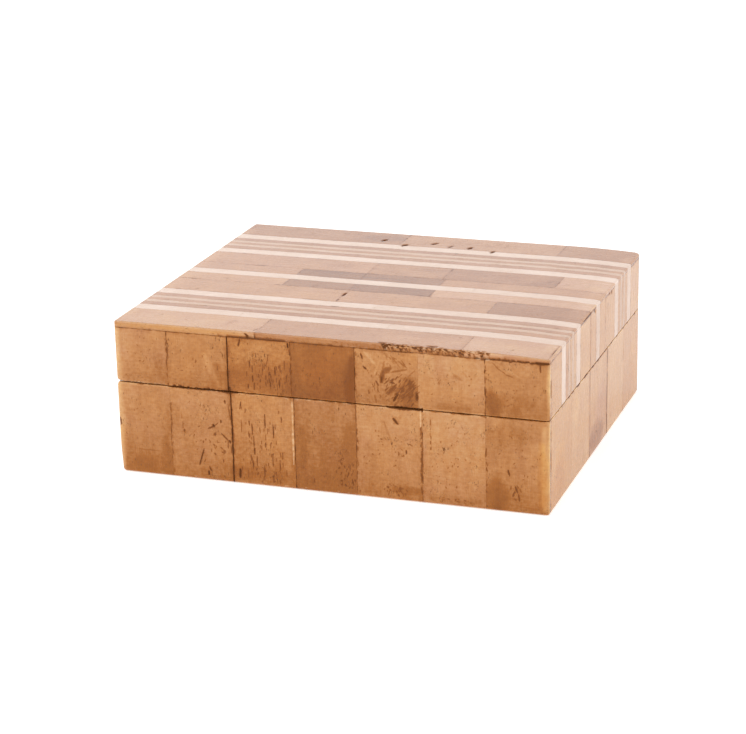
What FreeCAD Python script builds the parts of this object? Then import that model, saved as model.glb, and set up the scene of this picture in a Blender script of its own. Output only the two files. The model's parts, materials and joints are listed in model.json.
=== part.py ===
import FreeCAD, Part
import math
import os

from FreeCAD import Vector

# A lidded keepsake box: a wooden carcass clad in polished bone tiles, with the lid on two
# brass butt hinges at the back. Millimetres, +Z up, the front towards -Y, the origin at the
# middle of the underside.

# Overall sizes
box_width = 177.8
box_depth = 152.4
base_height = 38.1
lid_height = 25.4
lid_gap = 0.35

# Bone cladding
tile_thickness = 2.5
tile_joint = 0.25
open_joint = 0.55
strip_joint = 0.12
tile_foot_height = 0.25

# Rounding of the finished outside
corner_radius = 2.4
top_edge_radius = 0.7
foot_edge_radius = 2.2
rim_edge_radius = 0.4
hinge_edge_radius = 1.7

# Wooden carcass
wall_thickness = 8.0
corner_rebate = 4.0
panel_thickness = 6.0
panel_rebate = 4.0

# Felt
underside_felt_thickness = 1.0
underside_felt_margin = 0.5
lining_thickness = 1.5
lining_clearance = 0.2

# Widths of the lid's courses, which run from side to side and mirror about the middle one
white_strip_width = 6.2
thin_edge_strip_width = 4.1
thin_strip_width = 2.8
inner_row_width = 9.5
outer_row_width = 16.3

# Brass butt hinges
hinge_length = 25.0
hinge_side_distance = 28.0
hinge_inset = 0.9
leaf_width = 8.0
leaf_thickness = 1.0
leaf_clearance = 0.1
barrel_radius = 1.9
barrel_clearance = 0.35
knuckle_count = 5
knuckle_gap = 0.3
pin_radius = 0.8
pin_fit = 0.05
pin_head_radius = 1.3
pin_head_length = 0.6
pin_head_clearance = 0.1
lid_open_angle_deg = 105.0

# Countersunk hinge screws
screw_head_radius = 1.8
screw_head_depth = 0.8
screw_head_sink = 0.05
screw_shank_radius = 0.9
screw_shank_length = 5.0
screw_point_length = 1.2
screw_clearance = 0.05
screw_slot_width = 0.4
screw_slot_depth = 0.4
screw_place_shares = (-0.34, 0.0, 0.34)

# How far cutting shapes run past what they cut, and how near an edge's ends lie to the height
# or the upright that it is looked for on
overrun = 1.0
edge_tolerance = 0.005

# Places of the upright joints in each tiled wall, as shares of its length from the left,
# and which of these joints stand open, counted from the left
lid_front_joint_shares = (0.121, 0.267, 0.416, 0.562, 0.711, 0.858)
lid_front_open_joints = (1, 3)
base_front_joint_shares = (0.128, 0.273, 0.421, 0.566, 0.715, 0.859)
base_front_open_joints = (1, 4)
lid_back_joint_shares = (0.139, 0.286, 0.431, 0.577, 0.722, 0.871)
lid_back_open_joints = (4,)
base_back_joint_shares = (0.142, 0.288, 0.436, 0.579, 0.726, 0.874)
base_back_open_joints = (2,)
base_side_joint_shares = (0.223, 0.417, 0.610, 0.801)
base_side_open_joints = (2,)

# Places of the joints across each course of the top, as shares of the width from the left
top_joint_shares = {
    "top_front_row": (0.337, 0.807),
    "top_white_strip_1": (0.259, 0.605),
    "top_front_outer_row": (0.430, 0.785),
    "top_white_strip_2": (0.264, 0.530),
    "top_front_inner_row": (0.264, 0.428, 0.622),
    "top_white_strip_3": (0.352, 0.706),
    "top_back_inner_row": (0.266, 0.425, 0.619),
    "top_white_strip_4": (0.415, 0.748),
    "top_back_outer_row": (0.424, 0.610, 0.880),
    "top_white_strip_5": (0.272, 0.739),
    "top_back_row": (0.420, 0.818),
    "top_thin_dark_strips": (0.579,),
    "top_thin_light_strips": (0.441,),
}

# Places worked out from the sizes
half_width = box_width / 2
half_depth = box_depth / 2
full_height = base_height + lid_height
lid_bottom = base_height + lid_gap
carcass_bottom = underside_felt_thickness
carcass_top = full_height - tile_thickness
carcass_half_width = half_width - tile_thickness
carcass_half_depth = half_depth - tile_thickness
inner_half_width = carcass_half_width - wall_thickness
inner_half_depth = carcass_half_depth - wall_thickness
floor_top = carcass_bottom + panel_thickness
lid_panel_bottom = carcass_top - panel_thickness
hinge_y = half_depth - hinge_inset
hinge_z = base_height + lid_gap / 2
hinge_middles = (
    -half_width + hinge_side_distance + hinge_length / 2,
    half_width - hinge_side_distance - hinge_length / 2,
)
thin_band_width = 2 * thin_edge_strip_width + 3 * thin_strip_width
zone_width = outer_row_width + inner_row_width
margin_width = half_depth - 2.5 * white_strip_width - thin_band_width - zone_width

# The courses from the front edge to the middle strip, each with the node that holds it
front_courses = (
    ("top_front_row", margin_width),
    ("top_white_strip_1", white_strip_width),
    ("top_thin_dark_strips", thin_edge_strip_width),
    ("top_thin_light_strips", thin_strip_width),
    ("top_thin_dark_strips", thin_strip_width),
    ("top_thin_light_strips", thin_strip_width),
    ("top_thin_dark_strips", thin_edge_strip_width),
    ("top_white_strip_2", white_strip_width),
    ("top_front_outer_row", outer_row_width),
    ("top_front_inner_row", inner_row_width),
)
back_names = {
    "top_front_row": "top_back_row",
    "top_white_strip_1": "top_white_strip_5",
    "top_white_strip_2": "top_white_strip_4",
    "top_front_outer_row": "top_back_outer_row",
    "top_front_inner_row": "top_back_inner_row",
}
middle_course = ("top_white_strip_3", white_strip_width)


def block(x_low, x_high, y_low, y_high, z_low, z_high):
    size = (x_high - x_low, y_high - y_low, z_high - z_low)
    return Part.makeBox(*size, Vector(x_low, y_low, z_low))


def rod_along_x(radius, x_low, x_high, y, z):
    return Part.makeCylinder(radius, x_high - x_low, Vector(x_low, y, z), Vector(1, 0, 0))


def edges_at_height(shape, z):
    found = []
    for edge in shape.Edges:
        if all(abs(vertex.Z - z) < edge_tolerance for vertex in edge.Vertexes):
            found.append(edge)
    return found


def upright_edges(shape):
    found = []
    for edge in shape.Edges:
        start, end = (vertex.Point for vertex in edge.Vertexes)
        if math.hypot(start.x - end.x, start.y - end.y) < edge_tolerance:
            found.append(edge)
    return found


def hinge_edge_waste(rim_z, outward):
    """What rounding takes off the back edge of a rim: outward is 1 for the base, -1 for the lid."""
    y_middle = half_depth - hinge_edge_radius
    z_middle = rim_z - outward * hinge_edge_radius
    z_past = rim_z + outward * overrun
    x_past = half_width + overrun
    z_low, z_high = sorted((z_middle, z_past))
    corner = block(-x_past, x_past, y_middle, half_depth + overrun, z_low, z_high)
    return corner.cut(rod_along_x(hinge_edge_radius, -x_past, x_past, y_middle, z_middle))


def finished_outside(z_low, z_high, low_radius, high_radius):
    shape = block(-half_width, half_width, -half_depth, half_depth, z_low, z_high)
    shape = shape.makeFillet(corner_radius, upright_edges(shape))
    shape = shape.makeFillet(low_radius, edges_at_height(shape, z_low))
    return shape.makeFillet(high_radius, edges_at_height(shape, z_high))


def base_outside():
    shape = finished_outside(tile_foot_height, base_height, foot_edge_radius, rim_edge_radius)
    return shape.cut(hinge_edge_waste(base_height, 1))


def lid_outside():
    shape = finished_outside(lid_bottom, full_height, rim_edge_radius, top_edge_radius)
    return shape.cut(hinge_edge_waste(lid_bottom, -1))


def carcass_walls(z_low, z_high, panel):
    """Four walls: the side walls' ends sit in rebates of the front and back walls, and the panel
    sits in a rebate that runs round all four."""
    side_reach = inner_half_depth + corner_rebate
    right = block(inner_half_width, carcass_half_width, -side_reach, side_reach, z_low, z_high)
    left = block(-carcass_half_width, -inner_half_width, -side_reach, side_reach, z_low, z_high)
    x_reach = carcass_half_width
    front = block(-x_reach, x_reach, -carcass_half_depth, -inner_half_depth, z_low, z_high)
    back = block(-x_reach, x_reach, inner_half_depth, carcass_half_depth, z_low, z_high)
    return {
        "front": front.cut(right).cut(left).cut(panel),
        "back": back.cut(right).cut(left).cut(panel),
        "left": left.cut(panel),
        "right": right.cut(panel),
    }


def carcass_panel(z_low, z_high):
    x_reach = inner_half_width + panel_rebate
    y_reach = inner_half_depth + panel_rebate
    return block(-x_reach, x_reach, -y_reach, y_reach, z_low, z_high)


def hinge_pocket(x_middle):
    """Room for the barrel and the pin's heads in the back of the box."""
    x_reach = hinge_length / 2 + pin_head_clearance + pin_head_length + knuckle_gap
    radius = barrel_radius + barrel_clearance
    return rod_along_x(radius, x_middle - x_reach, x_middle + x_reach, hinge_y, hinge_z)


def leaf_mortise(x_middle, rim_z, outward):
    """Recess in a rim that takes a leaf flush."""
    x_reach = hinge_length / 2 + leaf_clearance
    y_low = hinge_y - leaf_width - leaf_clearance
    z_low, z_high = sorted((rim_z - outward * leaf_thickness, rim_z + outward * overrun))
    return block(x_middle - x_reach, x_middle + x_reach, y_low, hinge_y, z_low, z_high)


def screw_spots(x_middle, rim_z):
    y = hinge_y - (leaf_width + barrel_radius + barrel_clearance) / 2
    return [Vector(x_middle + share * hinge_length, y, rim_z) for share in screw_place_shares]


def screw(spot, outward):
    into = Vector(0, 0, -outward)
    top = spot + into * screw_head_sink
    neck = top + into * screw_head_depth
    tip = neck + into * screw_shank_length
    head = Part.makeCone(screw_head_radius, screw_shank_radius, screw_head_depth, top, into)
    shank = Part.makeCylinder(screw_shank_radius, screw_shank_length, neck, into)
    point = Part.makeCone(screw_shank_radius, 0, screw_point_length, tip, into)
    z_low, z_high = sorted((top.z + outward * overrun, top.z - outward * screw_slot_depth))
    x_reach = screw_head_radius + overrun
    slot_side = screw_slot_width / 2
    slot = block(
        top.x - x_reach, top.x + x_reach, top.y - slot_side, top.y + slot_side, z_low, z_high
    )
    return head.fuse([shank, point]).cut(slot).removeSplitter()


def leaf_screw_hole(spot, outward):
    into = Vector(0, 0, -outward)
    top = spot + into * screw_head_sink
    wide = screw_head_radius + screw_clearance
    narrow = screw_shank_radius + screw_clearance
    mouth = Part.makeCylinder(wide, overrun, top, into * -1)
    sink = Part.makeCone(wide, narrow, screw_head_depth, top, into)
    return mouth.fuse([sink, Part.makeCylinder(narrow, leaf_thickness + overrun, top, into)])


def pilot_hole(spot, outward):
    into = Vector(0, 0, -outward)
    depth = screw_head_sink + screw_head_depth + screw_shank_length + screw_point_length
    return Part.makeCylinder(screw_shank_radius + screw_clearance, depth, spot, into)


def knuckle_spans(x_middle, first):
    """Every second knuckle of the barrel, starting with number first."""
    length = (hinge_length - (knuckle_count - 1) * knuckle_gap) / knuckle_count
    starts = [
        x_middle - hinge_length / 2 + number * (length + knuckle_gap)
        for number in range(first, knuckle_count, 2)
    ]
    return [(start, start + length) for start in starts]


def hinge_leaf(x_middle, rim_z, outward, first_knuckle):
    z_low, z_high = sorted((rim_z, rim_z - outward * leaf_thickness))
    x_reach = hinge_length / 2
    y_plate = hinge_y - barrel_radius - barrel_clearance
    leaf = block(x_middle - x_reach, x_middle + x_reach, hinge_y - leaf_width, y_plate, z_low, z_high)
    for x_low, x_high in knuckle_spans(x_middle, first_knuckle):
        tongue = block(x_low, x_high, y_plate, hinge_y, z_low, z_high)
        knuckle = rod_along_x(barrel_radius, x_low, x_high, hinge_y, hinge_z)
        leaf = leaf.fuse([tongue, knuckle])
    bore_reach = x_reach + overrun
    bore_radius = pin_radius + pin_fit
    bore = rod_along_x(bore_radius, x_middle - bore_reach, x_middle + bore_reach, hinge_y, hinge_z)
    holes = [leaf_screw_hole(spot, outward) for spot in screw_spots(x_middle, rim_z)]
    return leaf.cut([bore] + holes).removeSplitter()


def hinge_pin(x_middle):
    x_head = hinge_length / 2 + pin_head_clearance
    x_end = x_head + pin_head_length
    shaft = rod_along_x(pin_radius, x_middle - x_end, x_middle + x_end, hinge_y, hinge_z)
    heads = [
        rod_along_x(pin_head_radius, x_middle - x_end, x_middle - x_head, hinge_y, hinge_z),
        rod_along_x(pin_head_radius, x_middle + x_head, x_middle + x_end, hinge_y, hinge_z),
    ]
    return shaft.fuse(heads).removeSplitter()


def hinge_cuts(rim_z, outward):
    """All that both hinges take out of the back of the base or of the lid."""
    cuts = []
    for x_middle in hinge_middles:
        cuts.append(hinge_pocket(x_middle))
        cuts.append(leaf_mortise(x_middle, rim_z, outward))
        cuts += [pilot_hole(spot, outward) for spot in screw_spots(x_middle, rim_z)]
    return cuts


def spans_between(low, high, joint_shares, open_joints=()):
    """Cuts a length into pieces at its joints, and leaves half of each joint off both pieces."""
    length = high - low
    starts = [low]
    ends = []
    for number, share in enumerate(joint_shares):
        half_joint = (open_joint if number in open_joints else tile_joint) / 2
        ends.append(low + share * length - half_joint)
        starts.append(low + share * length + half_joint)
    return list(zip(starts, ends + [high]))


def wall_tiles(outside, facing, z_low, z_high, joint_shares, open_joints):
    """The tiles of the front (facing -1) or the back (facing 1) of the base or the lid."""
    y_low, y_high = sorted((facing * carcass_half_depth, facing * half_depth))
    spans = spans_between(-half_width, half_width, joint_shares, open_joints)
    return [block(x0, x1, y_low, y_high, z_low, z_high).common(outside) for x0, x1 in spans]


def side_piece(outside, facing, y_low, y_high, z_low, z_high):
    """A tile or strip on the right (facing 1) or the left (facing -1) side."""
    x_low, x_high = sorted((facing * carcass_half_width, facing * half_width))
    y_reach = carcass_half_depth - tile_joint
    y_start = max(y_low, -y_reach)
    y_end = min(y_high, y_reach)
    return block(x_low, x_high, y_start, y_end, z_low, z_high).common(outside)


def base_side_tiles(outside, facing):
    spans = spans_between(-half_depth, half_depth, base_side_joint_shares, base_side_open_joints)
    return [
        side_piece(outside, facing, y0, y1, tile_foot_height, base_height) for y0, y1 in spans
    ]


def courses_front_to_back():
    """Each course's node, with the places of its front and back edges."""
    back_courses = [(back_names.get(name, name), width) for name, width in reversed(front_courses)]
    places = []
    y = -half_depth
    for name, width in list(front_courses) + [middle_course] + back_courses:
        places.append((name, y, y + width))
        y += width
    return places


def is_bleached(course_name):
    return "white" in course_name or "light" in course_name


def eased_course(y_low, y_high):
    """A course's edges, drawn in by half a strip joint except at the box's own edges."""
    y_start = y_low if y_low <= -half_depth else y_low + strip_joint / 2
    y_end = y_high if y_high + strip_joint / 2 >= half_depth else y_high - strip_joint / 2
    return y_start, y_end


def top_pieces(outside):
    nodes = {}
    for name, y_low, y_high in courses_front_to_back():
        y_start, y_end = eased_course(y_low, y_high)
        for x_start, x_end in spans_between(-half_width, half_width, top_joint_shares[name]):
            piece = block(x_start, x_end, y_start, y_end, carcass_top, full_height)
            nodes.setdefault(name, []).append(piece.common(outside))
    return nodes


def lid_side_pieces(outside, facing):
    """The courses carry on down the lid's sides: tiles and thin dark strips, then pale strips."""
    tiles = []
    strips = []
    for name, y_low, y_high in courses_front_to_back():
        y_start, y_end = eased_course(y_low, y_high)
        z_high = carcass_top - tile_joint
        piece = side_piece(outside, facing, y_start, y_end, lid_bottom, z_high)
        (strips if is_bleached(name) else tiles).append(piece)
    return tiles, strips


def base_floor_lining():
    x_reach = inner_half_width - lining_clearance
    y_reach = inner_half_depth - lining_clearance
    return block(-x_reach, x_reach, -y_reach, y_reach, floor_top, floor_top + lining_thickness)


def underside_felt():
    x_reach = carcass_half_width - underside_felt_margin
    y_reach = carcass_half_depth - underside_felt_margin
    return block(-x_reach, x_reach, -y_reach, y_reach, 0, underside_felt_thickness)


def add_carcass(nodes):
    floor_panel = carcass_panel(carcass_bottom, floor_top)
    lid_panel = carcass_panel(lid_panel_bottom, carcass_top)
    base_walls = carcass_walls(carcass_bottom, base_height, floor_panel)
    lid_walls = carcass_walls(lid_bottom, carcass_top, lid_panel)
    base_walls["back"] = base_walls["back"].cut(hinge_cuts(base_height, 1))
    lid_walls["back"] = lid_walls["back"].cut(hinge_cuts(lid_bottom, -1))
    for side, wall in base_walls.items():
        nodes["base_" + side + "_wall"] = wall
    for side, wall in lid_walls.items():
        nodes["lid_" + side + "_wall"] = wall
    nodes["base_floor_panel"] = floor_panel
    nodes["lid_top_panel"] = lid_panel
    nodes["base_floor_lining"] = base_floor_lining()
    nodes["underside_felt"] = underside_felt()


def add_front_and_back_tiles(nodes, base_shape, lid_shape):
    lid_span = (lid_bottom, carcass_top - tile_joint)
    base_span = (tile_foot_height, base_height)
    lid_fronts = wall_tiles(lid_shape, -1, *lid_span, lid_front_joint_shares, lid_front_open_joints)
    base_fronts = wall_tiles(
        base_shape, -1, *base_span, base_front_joint_shares, base_front_open_joints
    )
    for number, tile in enumerate(lid_fronts, start=1):
        nodes["lid_front_tile_" + str(number)] = tile
    for number, tile in enumerate(base_fronts, start=1):
        nodes["base_front_tile_" + str(number)] = tile
    lid_backs = wall_tiles(lid_shape, 1, *lid_span, lid_back_joint_shares, lid_back_open_joints)
    base_backs = wall_tiles(
        base_shape, 1, *base_span, base_back_joint_shares, base_back_open_joints
    )
    lid_cuts = hinge_cuts(lid_bottom, -1)
    base_cuts = hinge_cuts(base_height, 1)
    nodes["lid_back_tiles"] = Part.makeCompound([tile.cut(lid_cuts) for tile in lid_backs])
    nodes["base_back_tiles"] = Part.makeCompound([tile.cut(base_cuts) for tile in base_backs])


def add_side_tiles(nodes, base_shape, lid_shape):
    for number, tile in enumerate(base_side_tiles(base_shape, 1), start=1):
        nodes["base_right_tile_" + str(number)] = tile
    nodes["base_left_tiles"] = Part.makeCompound(base_side_tiles(base_shape, -1))
    for side, facing in (("right", 1), ("left", -1)):
        tiles, strips = lid_side_pieces(lid_shape, facing)
        nodes["lid_" + side + "_tiles"] = Part.makeCompound(tiles)
        nodes["lid_" + side + "_strips"] = Part.makeCompound(strips)


def add_top(nodes, lid_shape):
    for name, pieces in top_pieces(lid_shape).items():
        nodes[name] = Part.makeCompound(pieces)


def add_hinges(nodes):
    base_screws = []
    lid_screws = []
    for side, x_middle in zip(("left", "right"), hinge_middles):
        nodes[side + "_hinge_base_leaf"] = hinge_leaf(x_middle, base_height, 1, 0)
        nodes[side + "_hinge_lid_leaf"] = hinge_leaf(x_middle, lid_bottom, -1, 1)
        nodes[side + "_hinge_pin"] = hinge_pin(x_middle)
        base_screws += [screw(spot, 1) for spot in screw_spots(x_middle, base_height)]
        lid_screws += [screw(spot, -1) for spot in screw_spots(x_middle, lid_bottom)]
    nodes["base_hinge_screws"] = Part.makeCompound(base_screws)
    nodes["lid_hinge_screws"] = Part.makeCompound(lid_screws)


def print_hinge_report():
    """The rounded back edges of the two rims roll towards each other as the lid opens."""
    y_offset = hinge_edge_radius - hinge_inset
    z_offset = hinge_edge_radius + lid_gap / 2
    arm = math.hypot(y_offset, z_offset)
    closed_turn = 2 * math.pi - 2 * math.atan2(z_offset, y_offset)
    stop_angle = closed_turn - 2 * math.asin(hinge_edge_radius / arm)
    open_turn = closed_turn - math.radians(lid_open_angle_deg)
    gap = 2 * arm * math.sin(open_turn / 2) - 2 * hinge_edge_radius
    print("hinge axis y, z:", round(hinge_y, 3), round(hinge_z, 3))
    print("edges meet at", round(math.degrees(stop_angle), 1), "degrees")
    print("gap between them at", lid_open_angle_deg, "degrees:", round(gap, 3))


def main():
    os.makedirs("parts", exist_ok=True)
    nodes = {}
    base_shape = base_outside()
    lid_shape = lid_outside()
    add_carcass(nodes)
    add_front_and_back_tiles(nodes, base_shape, lid_shape)
    add_side_tiles(nodes, base_shape, lid_shape)
    add_top(nodes, lid_shape)
    add_hinges(nodes)
    for name, shape in nodes.items():
        shape.exportStep("parts/" + name + ".step")
    solids = sum(len(shape.Solids) for shape in nodes.values())
    print(len(nodes), "nodes,", solids, "solids")
    print_hinge_report()


main()
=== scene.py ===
"""A low keepsake box clad in polished tiles of tea-stained bone, with bleached strips let into
its lid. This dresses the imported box: its bone, carcass, hinges and felt. Lengths are in metres."""

import itertools
import json
import math

import bpy
import numpy as np
from mathutils import Matrix, Vector


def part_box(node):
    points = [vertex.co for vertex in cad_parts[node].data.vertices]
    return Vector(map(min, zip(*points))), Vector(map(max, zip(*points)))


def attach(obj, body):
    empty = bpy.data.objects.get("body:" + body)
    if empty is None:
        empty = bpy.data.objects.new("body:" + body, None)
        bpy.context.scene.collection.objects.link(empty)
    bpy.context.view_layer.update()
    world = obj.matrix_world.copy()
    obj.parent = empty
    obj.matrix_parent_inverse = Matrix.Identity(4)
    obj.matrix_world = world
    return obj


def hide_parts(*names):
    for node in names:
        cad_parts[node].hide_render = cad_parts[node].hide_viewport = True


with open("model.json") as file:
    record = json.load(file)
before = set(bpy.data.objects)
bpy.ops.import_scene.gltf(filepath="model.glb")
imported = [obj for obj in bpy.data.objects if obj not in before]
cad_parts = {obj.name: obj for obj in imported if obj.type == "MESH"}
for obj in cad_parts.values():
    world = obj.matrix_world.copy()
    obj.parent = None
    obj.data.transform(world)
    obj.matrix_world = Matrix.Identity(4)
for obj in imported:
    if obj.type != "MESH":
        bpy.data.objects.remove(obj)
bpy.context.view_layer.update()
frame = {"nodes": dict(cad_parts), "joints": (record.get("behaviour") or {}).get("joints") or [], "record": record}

bl_info = {
    "name": "Bone-tiled keepsake box",
    "version": (1, 0, 0),
    "blender": (4, 5, 0),
    "location": "3D Viewport > Sidebar > Bone Box",
    "description": "Dresses the packed keepsake box in stained and bleached bone",
    "category": "Object",
}

MM = 0.001

# The box's outside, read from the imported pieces
half_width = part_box("lid_front_tile_7")[1].x
half_depth = -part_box("lid_front_tile_1")[0].y
foot_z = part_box("base_front_tile_1")[0].z
base_rim_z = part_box("base_front_tile_1")[1].z
lid_rim_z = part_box("lid_front_tile_1")[0].z
top_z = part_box("top_front_row")[1].z
tile_thickness = top_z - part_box("top_front_row")[0].z
hinge_axis = Vector(frame["joints"][0]["pos_m"])
body_of_node = {
    node: body
    for body, nodes in frame["record"]["behaviour"]["bodies"].items()
    for node in nodes
}

# Rounding of the outside's edges, and how much rounder its most worn corners are
corner_radius = 1.3 * MM
top_edge_radius = 0.7 * MM
foot_edge_radius = 0.9 * MM
rim_edge_radius = 0.25 * MM
hinge_edge_radius = 1.7 * MM
worn_rim_radius = 1.5 * MM
worn_rim_reach = 4.0 * MM
worn_foot_radius = 2.6 * MM
worn_foot_reach = 7.0 * MM
worn_back_corner_radius = 3.0 * MM

# How far the polished top sags towards its right end
end_sag = 1.0 * MM
end_sag_reach = 32.0 * MM

# Pockets in the rims of the back tiles, where the hinge barrels lie
hinge_pocket_radius = 2.25 * MM
hinge_pocket_reach = 4.0 * MM
knuckle_gap = 0.3 * MM

# How much darker a tile of the front or back is at its foot, and how much lighter at its top
foot_darkening = 0.1
top_lightening = 0.06

# How much darker the cut ends of the top tiles are, and how far below the face and how near the
# front a point has to lie to be on one
cut_end_shade = 0.05
cut_end_depth = 0.8 * MM

# How far in from the box's own edges the bone is worn pale, with a painted highlight there
FRONT_WEAR_HIGHLIGHT_REACHES = (3.8 * MM, 2.0 * MM)
top_right_wear_highlight_reach = 1.0 * MM
top_wear_highlight_reach = 0.6 * MM
other_wear_highlight_reach = 0.9 * MM

# Tone and hue added by worn edges with their painted highlight, and by painted shade beside joints
WORN_EDGE_HIGHLIGHT_EFFECT = (0.2, -0.15)
JOINT_SHADE_EFFECT = (-0.2, 0.1)
joint_shade_reach = 2.4 * MM

# How far dirt reaches from a joint, in millimetres: from a clean one, and what dirt adds
JOINT_DIRT_REACHES = (0.18, 0.32)

# A point this near a joint and this far below the face lies on the joint's wall
joint_wall_reach = 0.4 * MM
joint_wall_depth = 0.3 * MM

# How much of its full rounding the edge of a clean joint has
clean_ease_share = 0.25

# Over what distance from the ends of a side its joints begin to stray
wander_fade = 6 * MM

# How much of their edges the boards and the brass have lost
board_edge_loss = 0.25 * MM
brass_edge_loss = 0.12 * MM

# How much longer than wide a mesh cell of the top is
top_cell_stretch = 1.3

# Rings down a tile's sides that lie closer together than this are made one
ring_spacing = 0.09 * MM

# Just inside the inner face of the base's side walls
side_wall_face = -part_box("base_left_wall")[1].x - 0.3 * MM

# How closely two places have to agree to be one
near = 0.005 * MM

# Directions on each side of the box: along it, up it and out of it
SIDES = {
    "front": ((1, 0, 0), (0, 0, 1), (0, -1, 0)),
    "back": ((-1, 0, 0), (0, 0, 1), (0, 1, 0)),
    "right": ((0, 1, 0), (0, 0, 1), (1, 0, 0)),
    "left": ((0, -1, 0), (0, 0, 1), (-1, 0, 0)),
    "top": ((1, 0, 0), (0, 1, 0), (0, 0, 1)),
}

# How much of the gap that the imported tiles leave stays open, and how dirty and worn the joint
# is, from the left
FRONT_JOINT_SHARES = {
    "lid_front_tile": (
        (0.06, 0.35),
        (0.3, 1.0),
        (0.1, 0.5),
        (0.1, 0.55),
        (0.04, 0.12),
        (0.08, 0.5),
    ),
    "base_front_tile": (
        (0.06, 0.35),
        (0.3, 1.0),
        (0.15, 0.55),
        (0.06, 0.4),
        (0.05, 0.4),
        (0.05, 0.22),
    ),
}

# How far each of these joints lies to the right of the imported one
FRONT_JOINT_NUDGES = {
    "lid_front_tile": (1.0 * MM, 0.7 * MM, 0.6 * MM, 0.9 * MM, -0.1 * MM, 0.2 * MM),
    "base_front_tile": (0.2 * MM, 0.4 * MM, 0.5 * MM, 0.2 * MM, 0.6 * MM, 0.1 * MM),
}
HIDDEN_JOINT_SHARE = (0.4, 0.6)
RIGHT_JOINT_SHARES = ((0.1, 0.3), (0.15, 0.5), (0.3, 0.95), (0.1, 0.3))
TOP_JOINT_SHARE = (0.1, 0.35)
STRIP_JOINT_SHARE = (0.08, 0.2)
LID_SIDE_JOINT_SHARE = (0.1, 0.45)
UNDER_TOP_JOINT_SHARE = (0.25, 0.65)
UNDER_STRIP_JOINT_SHARE = (0.06, 0.15)
CORNER_JOINT_SHARE = (0.2, 0.55)

# On the lid's sides, how narrow a tile has to be to close up like a strip, and between which
# distances from the front all of them do
narrow_tile_width = 12 * MM
CLOSED_STRETCH = (45 * MM, 75 * MM)

# Tiles on the unseen sides narrower than this look like dark strips
dark_strip_width = 5 * MM

# Tone from dark tea (0) to pale honey (1), hue from ochre (-1) to mauve (1), and how porous
# each tile is, from the left or from the front
LOOK_SHARES = {
    "lid_front_tile_1": ((0.52, 0.1, 0.35),),
    "lid_front_tile_2": ((0.5, -0.2, 0.35),),
    "lid_front_tile_3": ((0.45, -0.5, 0.5),),
    "lid_front_tile_4": ((0.24, -0.4, 0.4),),
    "lid_front_tile_5": ((0.53, -0.1, 0.45),),
    "lid_front_tile_6": ((0.61, 0.0, 0.35),),
    "lid_front_tile_7": ((0.5, -0.1, 0.35),),
    "base_front_tile_1": ((0.48, 0.0, 0.35),),
    "base_front_tile_2": ((0.5, 0.0, 0.4),),
    "base_front_tile_3": ((0.5, -0.2, 0.5),),
    "base_front_tile_4": ((0.39, 0.1, 0.4),),
    "base_front_tile_5": ((0.56, 0.0, 0.4),),
    "base_front_tile_6": ((0.61, 0.05, 0.4),),
    "base_front_tile_7": ((0.48, 0.0, 0.4),),
    "base_right_tile_1": ((0.71, -0.23, 0.1),),
    "base_right_tile_2": ((0.73, -0.08, 0.1),),
    "base_right_tile_3": ((0.69, -0.08, 0.1),),
    "base_right_tile_4": ((0.76, -0.03, 0.1),),
    "base_right_tile_5": ((0.63, -0.13, 0.1),),
    "lid_right_tiles": (
        (0.69, -0.13, 0.1),
        (0.62, 0.12, 0.1),
        (0.70, 0.12, 0.1),
        (0.75, 0.12, 0.1),
        (0.70, -0.18, 0.1),
        (0.64, -0.18, 0.1),
        (0.65, -0.23, 0.1),
        (0.67, -0.18, 0.1),
        (0.60, 0.02, 0.1),
        (0.63, 0.02, 0.1),
        (0.66, 0.02, 0.1),
        (0.73, 0.12, 0.1),
    ),
    "lid_right_strips": (
        (0.71, -0.1, 0.1),
        (-0.01, -0.1, 0.1),
        (0.09, -0.2, 0.1),
        (0.54, -0.1, 0.1),
        (0.21, -0.4, 0.1),
        (0.44, -0.2, 0.1),
        (-0.01, -0.3, 0.1),
        (-0.06, -0.3, 0.1),
        (0.39, -0.2, 0.1),
    ),
    "top_front_row": ((0.64, 0.15, 0.15), (0.5, 0.3, 0.15), (0.66, 0.35, 0.15)),
    "top_front_outer_row": ((0.53, 0.1, 0.15), (0.52, 0.15, 0.1), (0.32, 0.3, 0.15)),
    "top_front_inner_row": (
        (0.58, 0.2, 0.1),
        (0.24, 0.15, 0.15),
        (0.2, 0.6, 0.15),
        (0.69, 0.45, 0.1),
    ),
    "top_back_inner_row": (
        (0.51, 0.3, 0.15),
        (0.15, 0.2, 0.15),
        (0.22, 0.3, 0.15),
        (0.51, 0.3, 0.1),
    ),
    "top_back_outer_row": (
        (0.53, 0.35, 0.1),
        (0.45, 0.2, 0.15),
        (0.38, 0.4, 0.15),
        (0.68, 0.45, 0.1),
    ),
    "top_back_row": ((0.35, 0.0, 0.15), (0.46, 0.0, 0.1), (0.38, 0.2, 0.1)),
}

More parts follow.
